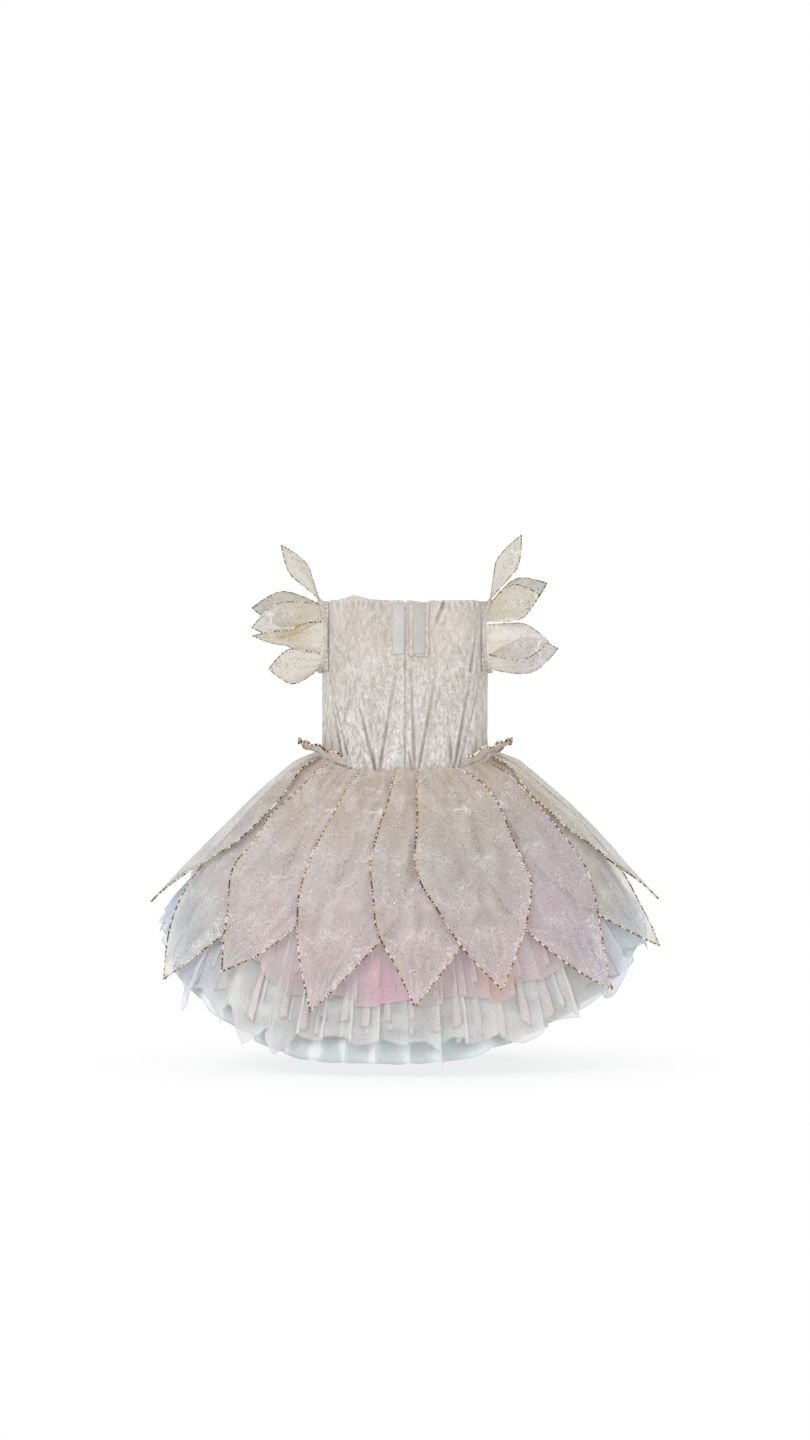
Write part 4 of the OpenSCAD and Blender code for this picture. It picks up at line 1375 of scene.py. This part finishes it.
@dataclass
class SkirtPetals:
    """Fourteen organza petals with a gold cord round each, and glitter on them."""

    tailor: Tailor
    finishes: dict[str, Finish]
    gold: Finish
    flakes: Finish
    width: float = 150 * MM
    off: float = 13 * MM
    gap: float = 4 * MM
    curl: float = 7 * MM
    lift: float = 0.4 * MM
    columns: int = 37
    rows: int = 84
    cord_r: float = 1.45 * MM
    cord_lay: float = 4.4 * MM
    cord_start: float = 0.02
    flake: float = 0.8 * MM
    flakes_per_m2: float = 11000.0
    seed: int = 5
    leaf: LeafCut = field(default_factory=lambda: LeafCut(0.4))
    plans: tuple[PetalPlan, ...] = tuple(PetalPlan(n, p, a * MM, s * MM, k) for n, p, a, s, k in (
        ("back", 0.12, -14, 402, 3), ("left_1", -0.20, -20, 412, 2), ("left_2", -0.50, -21, 384, 1),
        ("left_3", -0.76, 0, 436, 0), ("left_4", -1.0, 0, 356, 2), ("right_1", 0.30, 5, 382, 4),
        ("right_2", 0.55, 19, 424, 2), ("right_3", 0.78, 11, 406, 1), ("right_4", 1.0, 0, 352, 3),
        ("front_1", 1.33, -14, 400, 1), ("front_2", 1.67, -8, 400, 2), ("front_3", 2.0, 0, 400, 3),
        ("front_4", -1.67, 8, 400, 2), ("front_5", -1.33, 14, 400, 1)))

    def points(self, plan: PetalPlan, u: Grid, t: Grid, off: float = 0.0) -> Grid:
        """Points of a petal: u from -1 to 1 across it, t from 0 at the seam to 1 at the tip."""
        cut = self.tailor.cut
        u, t = np.broadcast_arrays(np.asarray(u, float), np.asarray(t, float))
        s = lerp(cut.skirt_top, plan.length, t)
        centre = plan.place * cut.quarter + plan.lean * t * t
        edge = 1 + 0.07 * Crumple(sum(map(ord, plan.name)) + 7, (0.35, 0.5), 5)(t, np.sign(u))
        half = self.width / 2 * self.leaf.width(t) * edge / cut.spread(centre, s)
        depth = self.off + plan.layer * self.gap + self.curl * t * t * np.clip(s / cut.puff_rise, 0, 1)
        g = centre + u * half
        return cut.skirt(g, s, depth + off + self.relief(plan, u, t, s) + self.tailor.skirt_folds(g, s))

    def relief(self, plan: PetalPlan, u: Grid, t: Grid, s: Grid) -> Grid:
        """A petal's own gathers, pleats and creases, least at its corded edge."""
        seed = sum(map(ord, plan.name))
        across = u * self.width / 2
        pleat = np.sin(u * 10 + 3 * Crumple(seed, (60 * MM, 90 * MM), 4)(across, s))
        soft = Crumple(seed + 1, (34 * MM, 110 * MM), 9)(across, s)
        fine = Crumple(seed + 2, (13 * MM, 40 * MM), 9)(across, s)
        inner = 1 - np.abs(u) ** 3
        return inner * (0.6 * MM * pleat * (1 - smooth(10 * MM, 120 * MM, s))
                        + smooth(10 * MM, 90 * MM, s) * (1.1 * MM * soft + 0.45 * MM * fine))

    def build(self) -> None:
        """Makes each petal, its cord and its glitter."""
        u = np.linspace(-1, 1, self.columns)[None, :]
        t = np.linspace(0, 1, self.rows)[:, None]
        for number, plan in enumerate(self.plans):
            body = f"skirt_petal_{plan.name}"
            grid = self.points(plan, u, t, self.lift)
            uv = self.leaf.uv(u, t, self.width, plan.length)
            s = t * plan.length
            bend = self.relief(plan, u, t, s + 0 * u) + self.tailor.skirt_folds(
                plan.place * self.tailor.cut.quarter + uv[..., 0] / 2.4, s + 0 * u)
            fabric = Fabric(f"petal_{plan.name}_organza", grid, uv, hollow=hollows(bend, 3, 1.5 * MM))
            sheet = self.tailor.cloth(fabric, body, self.finishes[plan.name], "organza", Held.HUNG,
                                      (f"petal_{plan.name}",), ("waist_stay_tape",))
            path = self.points(plan, *leaf_edge(self.cord_start, 90), self.lift)
            self.tailor.grow(self.tailor.cord, f"cord_{plan.name}_gold", line_mesh(path), self.gold,
                             body, "gold_cord", (f"cord_{plan.name}",),
                             Radius=self.cord_r, Lay=self.cord_lay)
            self.tailor.grow(self.tailor.glitter, f"petal_{plan.name}_glitter", sheet.data.copy(),
                             self.flakes, body, "organza",
                             Flake=self.flake, Density=self.flakes_per_m2, Seed=number + self.seed)


@dataclass
class HipFold:
    """The gold-edged top of a side petal, folded out over the waist seam."""

    tailor: Tailor
    side: int
    layer: int
    organza: Finish
    gold: Finish
    width: float = 30 * MM
    half: float = 56 * MM
    thick: float = 0.5 * MM
    from_side: float = 22 * MM
    off: float = 13 * MM
    gap: float = 4 * MM
    cord_r: float = 2.0 * MM
    cord_lay: float = 5.4 * MM

    def points(self, u: Grid, r: Grid) -> Grid:
        """Points of the fold: u across it and r outwards from the seam."""
        cut = self.tailor.cut
        u, r = np.broadcast_arrays(np.asarray(u, float), np.asarray(r, float))
        back = -u * self.side
        g = self.side * (cut.quarter - self.from_side) + u * self.half
        base = cut.skirt(g, cut.skirt_top, self.off + self.layer * self.gap)
        out = self.width * r * (1 - 0.55 * u ** 4)
        ruffle = 2.6 * MM * r * np.sin(u * 17 + self.side) + 1.0 * MM * Crumple(51, (20 * MM, 20 * MM))(
            u * self.half, out)
        b = cut.bearing(g)
        rise = out * (0.62 + 0.3 * back) + ruffle + 1.6 * MM
        away = out * (0.86 - 0.22 * back) + 1.5 * MM
        move = np.stack([away * np.sin(b), -away * np.cos(b), rise], -1)
        return base + move

    def build(self) -> None:
        """Makes the fold and its cord."""
        name = side_name(self.side)
        outer = self.points(np.linspace(-1, 1, 45)[None, :], np.linspace(1, 0, 16)[:, None])
        inner = outer + np.array([0, 0, self.thick])
        self.tailor.cloth(Fabric(f"hip_fold_{name}_organza", outer, cloth_uv(outer), inner), "dress",
                          self.organza, "organza", Held.FOLDED, (f"hip_fold_{name}",))
        path = self.points(np.linspace(-1, 1, 60), np.ones(60)) + np.array([0, 0, 0.2 * MM])
        self.tailor.grow(self.tailor.cord, f"hip_fold_{name}_cord", line_mesh(path), self.gold,
                         "dress", "gold_cord", Radius=self.cord_r, Lay=self.cord_lay)


@dataclass(frozen=True)
class SleevePlan:
    """One sleeve petal: its angle round the band, pitch, length, cup and twist in degrees."""

    name: str
    angle: float
    pitch: float
    length: float
    cup: float
    twist: float


@dataclass
class Sleeve:
    """An elastic band round the armhole with five organza petals on it."""

    tailor: Tailor
    side: int
    plans: tuple[SleevePlan, ...]
    velvet: Finish
    organza: dict[str, Finish]
    gold: Finish
    flakes: Finish
    width: float = 58 * MM
    arc: float = 20
    ruches: int = 62
    cord_r: float = 1.1 * MM
    cord_lay: float = 3.8 * MM
    cord_start: float = 0.01
    flake: float = 0.6 * MM
    flakes_per_m2: float = 9000.0
    seed: int = 60
    leaf: LeafCut = field(default_factory=lambda: LeafCut(0.74))

    def points(self, plan: SleevePlan, u: Grid, t: Grid) -> Grid:
        """Points of a sleeve petal: u across it and t from the band to the tip."""
        cut = self.tailor.cut
        u, t = (v[..., None] for v in np.broadcast_arrays(np.asarray(u, float), np.asarray(t, float)))
        u = u * self.side
        w, pitch = math.radians(plan.angle), math.radians(plan.pitch)
        radial = np.array([0, -math.sin(w), math.cos(w)])
        seam = np.array([0, -math.cos(w), -math.sin(w)])
        along = math.cos(pitch) * np.array([self.side, 0, 0]) + math.sin(pitch) * radial
        face = self.side * np.cross(seam, along)
        twist = np.radians(plan.twist) * np.minimum(1, 2 * t)
        across = np.cos(twist) * seam - np.sin(twist) * face
        up = self.side * np.cross(across, along)
        sewn = cut.band(self.side, plan.angle)
        base = sewn + (cut.band_d / 2 + 1.2 * MM) * along
        follow = cut.band(self.side, plan.angle + u[..., 0] * self.arc) - sewn \
            - u * self.width / 2 * self.leaf.top * seam
        lift = plan.cup * MM * (np.sin(math.pi * t) * (1 - u * u) - 0.8 * t * t)
        seed = sum(map(ord, plan.name))
        crumple = (0.9 * MM * Crumple(seed, (22 * MM, 50 * MM), 8)(u * self.width / 2, t * plan.length)
                   + 1.0 * MM * np.sin(11 * u + seed) * (1 - smooth(0, 0.45, t))) * (1 - np.abs(u) ** 3)
        half = self.width / 2 * self.leaf.width(t)
        return (base + plan.length * t * along + u * half * across
                + (lift + crumple + 0.4 * MM) * up + (1 - t) ** 3 * follow)

    def build(self) -> None:
        """Makes the band and its gussets, then each petal with its cord."""
        self._band()
        self._gussets()
        u, t = np.linspace(-1, 1, 21)[None, :], np.linspace(0, 1, 36)[:, None]
        for number, plan in enumerate(self.plans):
            body = f"sleeve_{plan.name}"
            grid = self.points(plan, u, t)
            uv = self.leaf.uv(u, t, self.width, plan.length)
            finish = self.organza.get(plan.name, self.organza["plain"])
            sheet = self.tailor.cloth(Fabric(f"sleeve_petal_{plan.name}_organza", grid, uv), body, finish,
                                      "organza", Held.GATHERED, (f"sleeve_petal_{plan.name}",))
            path = self.points(plan, *leaf_edge(self.cord_start, 50))
            self.tailor.grow(self.tailor.cord, f"sleeve_cord_{plan.name}", line_mesh(path), self.gold,
                             body, "gold_cord", Radius=self.cord_r, Lay=self.cord_lay)
            self.tailor.grow(self.tailor.glitter, f"sleeve_petal_{plan.name}_glitter",
                             sheet.data.copy(), self.flakes, body, "organza",
                             Flake=self.flake, Density=self.flakes_per_m2, Seed=number + self.seed)

    def _gussets(self) -> None:
        """Ruched velvet from the bodice's armhole edges out to the band."""
        cut = self.tailor.cut
        for label, start, stop in (("back", 10, 170), ("front", 190, 350)):
            angle = np.linspace(start, stop, 90)[:, None]
            band = cut.band(self.side, angle[:, 0])[:, None, :]
            edge = band.copy()
            edge[..., 0] = self.side * (cut.flat_l + math.sqrt(cut.end_r ** 2 - (cut.armhole_d / 2) ** 2))
            edge[..., 1] = math.copysign(cut.armhole_d / 2, band[45, 0, 1])
            across = np.linspace(0, 1, 8)[None, :, None]
            grid = lerp(edge, band, across)
            out = 1.0 * MM * np.sin(angle * 0.55) * np.sin(math.pi * across[..., 0])
            grid[..., 1] += out * np.sign(band[45, 0, 1])
            name = f"sleeve_gusset_{side_name(self.side)}_{label}"
            # the ruche's dips and rises, from which the velvet paints shade and highlights
            fabric = Fabric(name, grid, cloth_uv(grid), hollow=-out / MM)
            self.tailor.place(fabric.build(), "dress", self.velvet, "velvet")

    def _band(self) -> None:
        """The ruched velvet casing of the sleeve elastic, closed round the armhole."""
        cut = self.tailor.cut
        steps, sides = 220, 16
        angle = self.side * np.linspace(0, 360, steps + 1)
        path = cut.band(self.side, angle)
        ahead = np.roll(path[:-1], -1, 0) - np.roll(path[:-1], 1, 0)
        ahead = np.concatenate([ahead, ahead[:1]])
        ahead /= np.linalg.norm(ahead, axis=1, keepdims=True)
        first = np.cross(ahead, [1.0, 0, 0])
        first /= np.linalg.norm(first, axis=1, keepdims=True)
        second = np.cross(ahead, first)
        round_ = np.linspace(0, 2 * math.pi, sides + 1)[:, None, None]
        step = np.arange(steps + 1)[None, :, None]
        ruche = 1 + 0.13 * np.sin(step * 2 * math.pi * self.ruches / steps) \
            + 0.05 * np.sin(3 * round_ + step * 0.21)
        ring = np.cos(round_) * first + 1.22 * np.sin(round_) * second
        outer = path[None] + cut.band_d / 2 * 0.93 * ruche * ring
        name = side_name(self.side)
        mesh = Fabric(f"sleeve_band_{name}_casing", outer, cloth_uv(outer), wrap=True).build()
        tidy_tube(mesh)
        self.tailor.place(mesh, "dress", self.velvet, "velvet", (f"sleeve_band_{name}",))


def tidy_tube(obj: bpy.types.Object) -> None:
    """Joins a tube's last row to its first and points its faces outwards."""
    work = bmesh.new()
    work.from_mesh(obj.data)
    bmesh.ops.remove_doubles(work, verts=work.verts, dist=0.01 * MM)
    bmesh.ops.recalc_face_normals(work, faces=work.faces)
    work.to_mesh(obj.data)
    work.free()


@dataclass(frozen=True)
class LayerPlan:
    """A skirt layer: its offsets at the top and hem, its ruffles and how its hem runs."""

    name: str
    top_off: float
    hem_off: float
    ruffle: float
    lobes: int
    swing: float
    columns: int
    rows: int
    seed: int
    crush: float = 2.5 * MM


@dataclass
class Skirt:
    """Satin underskirt with three white nets and two pink nets over it."""

    tailor: Tailor
    satin: Finish
    white: Finish
    inner_white: Finish
    beige: Finish
    pink: Finish
    inner_pink: Finish
    satin_l: float = 488 * MM
    white_l: float = 446 * MM
    pink_l: float = 425 * MM
    side_short: float = 112 * MM
    # (bearing in degrees, length in mm) of the white net's cut points and notches at the back
    points: tuple[tuple[float, float], ...] = (
        (-96, 350), (-90, 330), (-86, 358), (-82, 382), (-77, 362), (-72, 418), (-69, 402), (-65, 470),
        (-61.5, 420), (-58, 458), (-56.5, 434), (-55, 448), (-53, 424), (-50, 478), (-46, 436),
        (-43, 448), (-40, 482), (-37, 440), (-30, 454), (-22, 444), (-14, 458), (-6, 448), (0, 460),
        (6, 450), (9, 476), (10.5, 516), (12, 472), (15, 446), (22, 458), (30, 440), (38, 462),
        (46, 434), (52, 444), (60, 424), (65, 436), (69, 388), (73, 384), (78, 404), (84, 352),
        (90, 338), (96, 346))
    # the same for a crumpled layer between the nets, and for the underskirt's plain hem
    middle: tuple[tuple[float, float], ...] = (
        (-96, 330), (-84, 372), (-76, 350), (-68, 420), (-60, 402), (-52, 442), (-44, 416), (-34, 438),
        (-26, 412), (-12, 430), (0, 412), (10, 440), (16, 424), (22, 452), (26, 418), (30, 462),
        (34, 428), (38, 446), (42, 412), (48, 436), (56, 398), (64, 412), (76, 360), (96, 330))
    under: tuple[tuple[float, float], ...] = (
        (-96, 372), (-80, 392), (-66, 436), (-50, 466), (-36, 480), (-20, 483), (0, 483), (14, 481),
        (26, 470), (36, 455), (46, 444), (56, 430), (70, 412), (84, 380), (96, 372))

    def cut_hem(self, table: tuple[tuple[float, float], ...], length: float,
                ragged: float) -> Callable[[Grid], Grid]:
        """A hem that runs through a table at the back, and is about one length at the front."""
        cut = self.tailor.cut

        def hem(g: Grid) -> Grid:
            """Length at each place round the skirt."""
            bearing = np.degrees(cut.bearing(g))
            small = 0.12 * ragged * Crumple(72, (9 * MM, 100 * MM), 7)(g, 0 * g)
            back = np.interp(bearing, *zip(*table)) * MM + small
            teeth = ragged * np.abs(Crumple(71, (26 * MM, 100 * MM), 7)(g, 0 * g))
            front = length + teeth - self.side_short * cut.side_share(g)
            return lerp(back, front, smooth(92, 100, np.abs(bearing)))
        return hem

    def plain_hem(self, length: float, ragged: float, seed: int) -> Callable[[Grid], Grid]:
        """A hem of about one length, shorter at the sides, with a cut edge."""
        cut = self.tailor.cut

        def hem(g: Grid) -> Grid:
            """Length at each place round the skirt."""
            edge = ragged * Crumple(seed, (30 * MM, 100 * MM), 8)(g, 0 * g)
            return length + edge - self.side_short * cut.side_share(g)
        return hem

    def layer(self, plan: LayerPlan, hem: Callable[[Grid], Grid], thick: float | None) -> Fabric:
        """Grid of a skirt layer, ruffled towards its hem.

        Args:
            plan: The layer's sizes.
            hem: Length at each place round the skirt.
            thick: Thickness of a closed shell, or None for an open sheet.

        Returns:
            The layer's fabric.
        """
        cut = self.tailor.cut
        g = np.linspace(-2 * cut.quarter, 2 * cut.quarter, plan.columns + 1)[None, :]
        length = hem(g)
        s = cut.skirt_top + (length - cut.skirt_top) * np.linspace(0, 1, plan.rows)[:, None] ** 0.9
        down = s / self.satin_l
        turn = 2 * math.pi * g / (4 * cut.quarter)
        rng = np.random.default_rng(plan.seed)
        phase = sum(a * np.sin(k * turn + p) for k, a, p in zip(
            (3, 5, 8, 13), (1.1, 0.9, 0.6, 0.4), rng.uniform(0, 6.28, 4)))
        wave = np.sin(plan.lobes * turn + phase) \
            + 0.4 * np.sin(2.3 * round(plan.lobes / 2.3) * turn + 2 * phase + 1)
        side = np.cos(plan.lobes * turn + phase)
        crushed = Crumple(plan.seed, (34 * MM, 46 * MM), 10)(g, s) * smooth(0.55, 0.9, down) * plan.crush
        gather = np.sin(60 * turn + 2 * phase) * (1 - smooth(0, 80 * MM, s))
        grow = smooth(0.0, 1.0, down) ** 1.2
        off = lerp(plan.top_off, plan.hem_off, down) + plan.ruffle * grow * wave \
            + 0.6 * MM * gather + crushed
        shifted = g + plan.swing * grow * side
        shared = self.tailor.skirt_folds(g, s)
        outer = cut.skirt(shifted, s, off + shared)
        inner = None if thick is None else cut.skirt(shifted, s, off - thick + shared)
        uv = np.stack([g + 0 * s, length - s], -1)
        return Fabric(plan.name, outer, uv, inner, wrap=True, hollow=hollows(off + shared, 4, 2.2 * MM))

    def build(self) -> None:
        """Makes the layers from the inside out."""
        rows = (
            (LayerPlan("satin_underskirt_cloth", -6 * MM, -16 * MM, 5 * MM, 34, 3 * MM, 420, 48, 81),
             self.cut_hem(self.under, self.satin_l - 6 * MM, 8 * MM), 1 * MM, self.satin, "satin",
             ("satin_underskirt",)),
            (LayerPlan("white_net_inner", -2 * MM, -4 * MM, 5 * MM, 44, 5 * MM, 420, 36, 82),
             self.plain_hem(self.white_l - 6 * MM, 12 * MM, 92), None, self.inner_white, "white_net", ()),
            (LayerPlan("white_net_outer", 4 * MM, 4 * MM, 4 * MM, 38, 4 * MM, 540, 40, 83),
             self.cut_hem(self.points, self.white_l + 8 * MM, 22 * MM), None, self.white, "white_net",
             ("white_net",)),
            (LayerPlan("white_net_middle", 1 * MM, 0, 5 * MM, 50, 6 * MM, 540, 36, 86),
             self.cut_hem(self.middle, self.white_l - 16 * MM, 18 * MM), None, self.beige, "white_net", ()),
            (LayerPlan("pink_net_inner", 6 * MM, 6 * MM, 3 * MM, 46, 4 * MM, 420, 34, 84),
             self.plain_hem(self.pink_l - 58 * MM, 12 * MM, 93), None, self.inner_pink, "pink_net", ()),
            (LayerPlan("pink_net_outer", 8 * MM, 9 * MM, 3 * MM, 40, 4 * MM, 420, 36, 85),
             self.plain_hem(self.pink_l - 36 * MM, 15 * MM, 94), None, self.pink, "pink_net",
             ("pink_net",)),
        )
        for plan, hem, thick, finish, slot, nodes in rows:
            self.tailor.cloth(self.layer(plan, hem, thick), "dress", finish, slot, Held.GATHERED, nodes)


# ---- floor, light and camera ----


@dataclass
class Studio:
    """A pale floor, soft light and the camera, straight behind the dress."""

    distance: float = 6.0
    eye_z: float = 72 * MM
    lens: float = 93.75
    sensor: float = 36.0
    floor_w: float = 40.0
    sky: float = 0.8
    key: float = 62.0

    def build(self) -> None:
        """Makes the floor, lights and camera."""
        self._floor()
        self._sky()
        self._light("key", (-2.2, -3.4, 2.6), 2.2, self.key)
        self._light("fill", (2.6, -3.0, 0.8), 2.4, self.key * 0.22)
        camera = bpy.data.cameras.new("camera")
        camera.lens, camera.sensor_fit, camera.sensor_height = self.lens, "VERTICAL", self.sensor
        camera.clip_end = 200
        eye = in_scene(bpy.data.objects.new("camera", camera))
        eye.location = (0, -self.distance, self.eye_z)
        eye.rotation_euler = (math.pi / 2, 0, 0)
        bpy.context.scene.camera = eye
        bpy.context.scene.view_settings.view_transform = "Standard"
        bpy.context.scene.cycles.transparent_max_bounces = 16

    def _floor(self) -> None:
        """A wide plane just under the hem, lit near the dress and plain white further off."""
        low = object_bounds()[0][2] - 1 * MM
        half = self.floor_w / 2
        mesh = bpy.data.meshes.new("floor")
        mesh.from_pydata([(-half, -half, low), (half, -half, low), (half, half, low), (-half, half, low)],
                         [], [(0, 1, 2, 3)])
        floor = in_scene(bpy.data.objects.new("floor", mesh))
        material = bpy.data.materials.new("Pale floor")
        material.use_nodes = True
        n = Nodes(material.node_tree)
        shader = material.node_tree.nodes["Principled BSDF"]
        shader.inputs["Base Color"].default_value = srgb(252, 252, 252)
        shader.inputs["Roughness"].default_value = 0.9
        place = n.add("ShaderNodeTexCoord").outputs["Object"]
        away = n.distance(place, (0.0, 0.0, low))
        white = n.add("ShaderNodeEmission", {"Color": (1, 1, 1, 1), "Strength": 1.0}).outputs[0]
        mixed = n.add("ShaderNodeMixShader",
                      {0: n.ramp(away, 0.2, 0.55, 0.7, 1.0), 1: shader.outputs[0], 2: white})
        output = material.node_tree.nodes["Material Output"]
        material.node_tree.links.new(mixed.outputs[0], output.inputs["Surface"])
        mesh.materials.append(material)
        floor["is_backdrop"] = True

    def _sky(self) -> None:
        """Even white surroundings, a little dimmer for light than they look."""
        world = bpy.data.worlds.new("Studio")
        bpy.context.scene.world = world
        world.use_nodes = True
        n = Nodes(world.node_tree)
        seen = n.add("ShaderNodeLightPath").outputs["Is Camera Ray"]
        background = world.node_tree.nodes["Background"]
        background.inputs["Color"].default_value = (1, 1, 1, 1)
        world.node_tree.links.new(n.ramp(seen, 0.0, 1.0, self.sky, 1.0), background.inputs["Strength"])

    @staticmethod
    def _light(name: str, place: tuple[float, float, float], size: float, power: float) -> None:
        """A square area light that faces the dress."""
        light = bpy.data.lights.new(name, "AREA")
        light.size, light.energy = size, power
        lamp = in_scene(bpy.data.objects.new(name, light))
        lamp.location = place
        lamp.rotation_euler = (Vector((0, 0, -0.05)) - Vector(place)).to_track_quat("-Z", "Y").to_euler()


def organza_finishes() -> dict[str, Finish]:
    """The finish of each skirt petal. They differ a little in tint, as their layers do."""
    ivory, lilac, cream = srgb(215, 209, 203), srgb(210, 196, 204), srgb(208, 204, 193)
    rose, silver = srgb(219, 203, 204), srgb(218, 217, 215)
    tints = {
        "back": (srgb(211, 200, 193), rose), "left_1": (srgb(217, 206, 200), rose),
        "left_2": (srgb(219, 208, 203), rose), "left_3": (ivory, silver), "left_4": (silver, silver),
        "right_1": (srgb(210, 202, 196), rose), "right_2": (lilac, lilac), "right_3": (cream, cream),
        "right_4": (cream, silver), "front_1": (ivory, rose), "front_2": (ivory, rose),
        "front_3": (ivory, lilac), "front_4": (ivory, rose), "front_5": (ivory, silver)}
    return {name: Organza(f"Organza {name.replace('_', ' ')}", body=body, tip=tip)
            for name, (body, tip) in tints.items()}


def main() -> None:
    """Builds the dress piece by piece."""
    logging.basicConfig(level=logging.INFO, format="%(message)s")
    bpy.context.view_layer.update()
    cut = DressCut.from_frame()
    tailor = Tailor(cut, CordGrower(), GlitterGrower(), StitchGrower(), HookGrower())
    velvet, gold, flakes = CrushedVelvet("Crushed velvet"), GoldCord("Gold cord"), Glitter("Glitter")
    thread = Thread("Sewing thread")
    Studio().build()
    Bodice(tailor, velvet, WovenCloth("Lining"), WovenCloth("Elastic", pitch=1.6 * MM, relief=0.3 * MM),
           thread).build()
    Closure(tailor, WovenCloth("Loop tape", colour=srgb(208, 206, 202), shade=srgb(193, 191, 187),
                               pitch=0.8 * MM, roughness=0.9),
            WovenCloth("Hook tape", colour=srgb(198, 194, 190), shade=srgb(184, 179, 174)),
            velvet, thread, Thread("Nylon hooks", colour=srgb(214, 212, 210))).build()
    finishes = organza_finishes()
    spots = tuple((*(float(v) for v in cut.skirt(np.array(cut.at_bearing(b)), np.array(s * MM), 8 * MM)), r)
                  for b, s, r in ((-7, 366, 0.05), (33, 362, 0.04), (-2, 392, 0.035)))
    Skirt(tailor, Satin("Satin"), Netting("White net", cover=0.6),
          Netting("Inner white net", colour=srgb(236, 239, 239), deep=srgb(218, 223, 224), cover=0.5),
          Netting("Beige net", colour=srgb(236, 230, 227), deep=srgb(219, 211, 208), cover=0.45),
          PinkNetting("Pink net", colour=srgb(238, 221, 224), deep=srgb(225, 205, 209), cover=0.42,
                      edge=srgb(204, 188, 192), spots=spots),
          Netting("Inner pink net", colour=srgb(240, 227, 226), deep=srgb(229, 209, 209), cover=0.5,
                  edge=srgb(204, 188, 192))).build()
    SkirtPetals(tailor, finishes, gold, flakes).build()
    for side, layer in ((-1, 2), (1, 3)):
        HipFold(tailor, side, layer, Organza("Hip fold organza", cover=0.8, length=0.05), gold).build()
    tints = {"plain": (srgb(203, 194, 178), srgb(198, 192, 183)), "right_3": (srgb(202, 192, 188),) * 2,
             "right_4": (srgb(203, 192, 192),) * 2, "left_3": (srgb(206, 184, 142), srgb(202, 189, 162))}
    sleeve_cloth = {name: Organza(f"Sleeve organza {name}", body=body, top=srgb(202, 192, 170), tip=tip,
                                  cover=0.74, length=0.11) for name, (body, tip) in tints.items()}
    plans = {
        1: (("right_1", 0, 66, 112, 5, 36), ("right_2", 52, 29, 88, 8, 28), ("right_3", 96, 4, 98, 8, -6),
            ("right_4", 140, -16, 114, 7, -40), ("right_5", 310, 38, 118, 8, -28)),
        -1: (("left_1", 0, 57, 104, 5, 32), ("left_2", 48, -18, 118, 8, 30), ("left_3", 92, 8, 112, 6, 66),
             ("left_4", 136, 10, 82, 6, -30), ("left_5", 314, 4, 110, 8, -30))}
    for side, rows in plans.items():
        petals = tuple(SleevePlan(n, w, p, length * MM, cup, twist) for n, w, p, length, cup, twist in rows)
        Sleeve(tailor, side, petals, velvet, sleeve_cloth, gold, flakes).build()
    log.info("%d pieces", tailor.count)


if __name__ == "__main__":
    main()
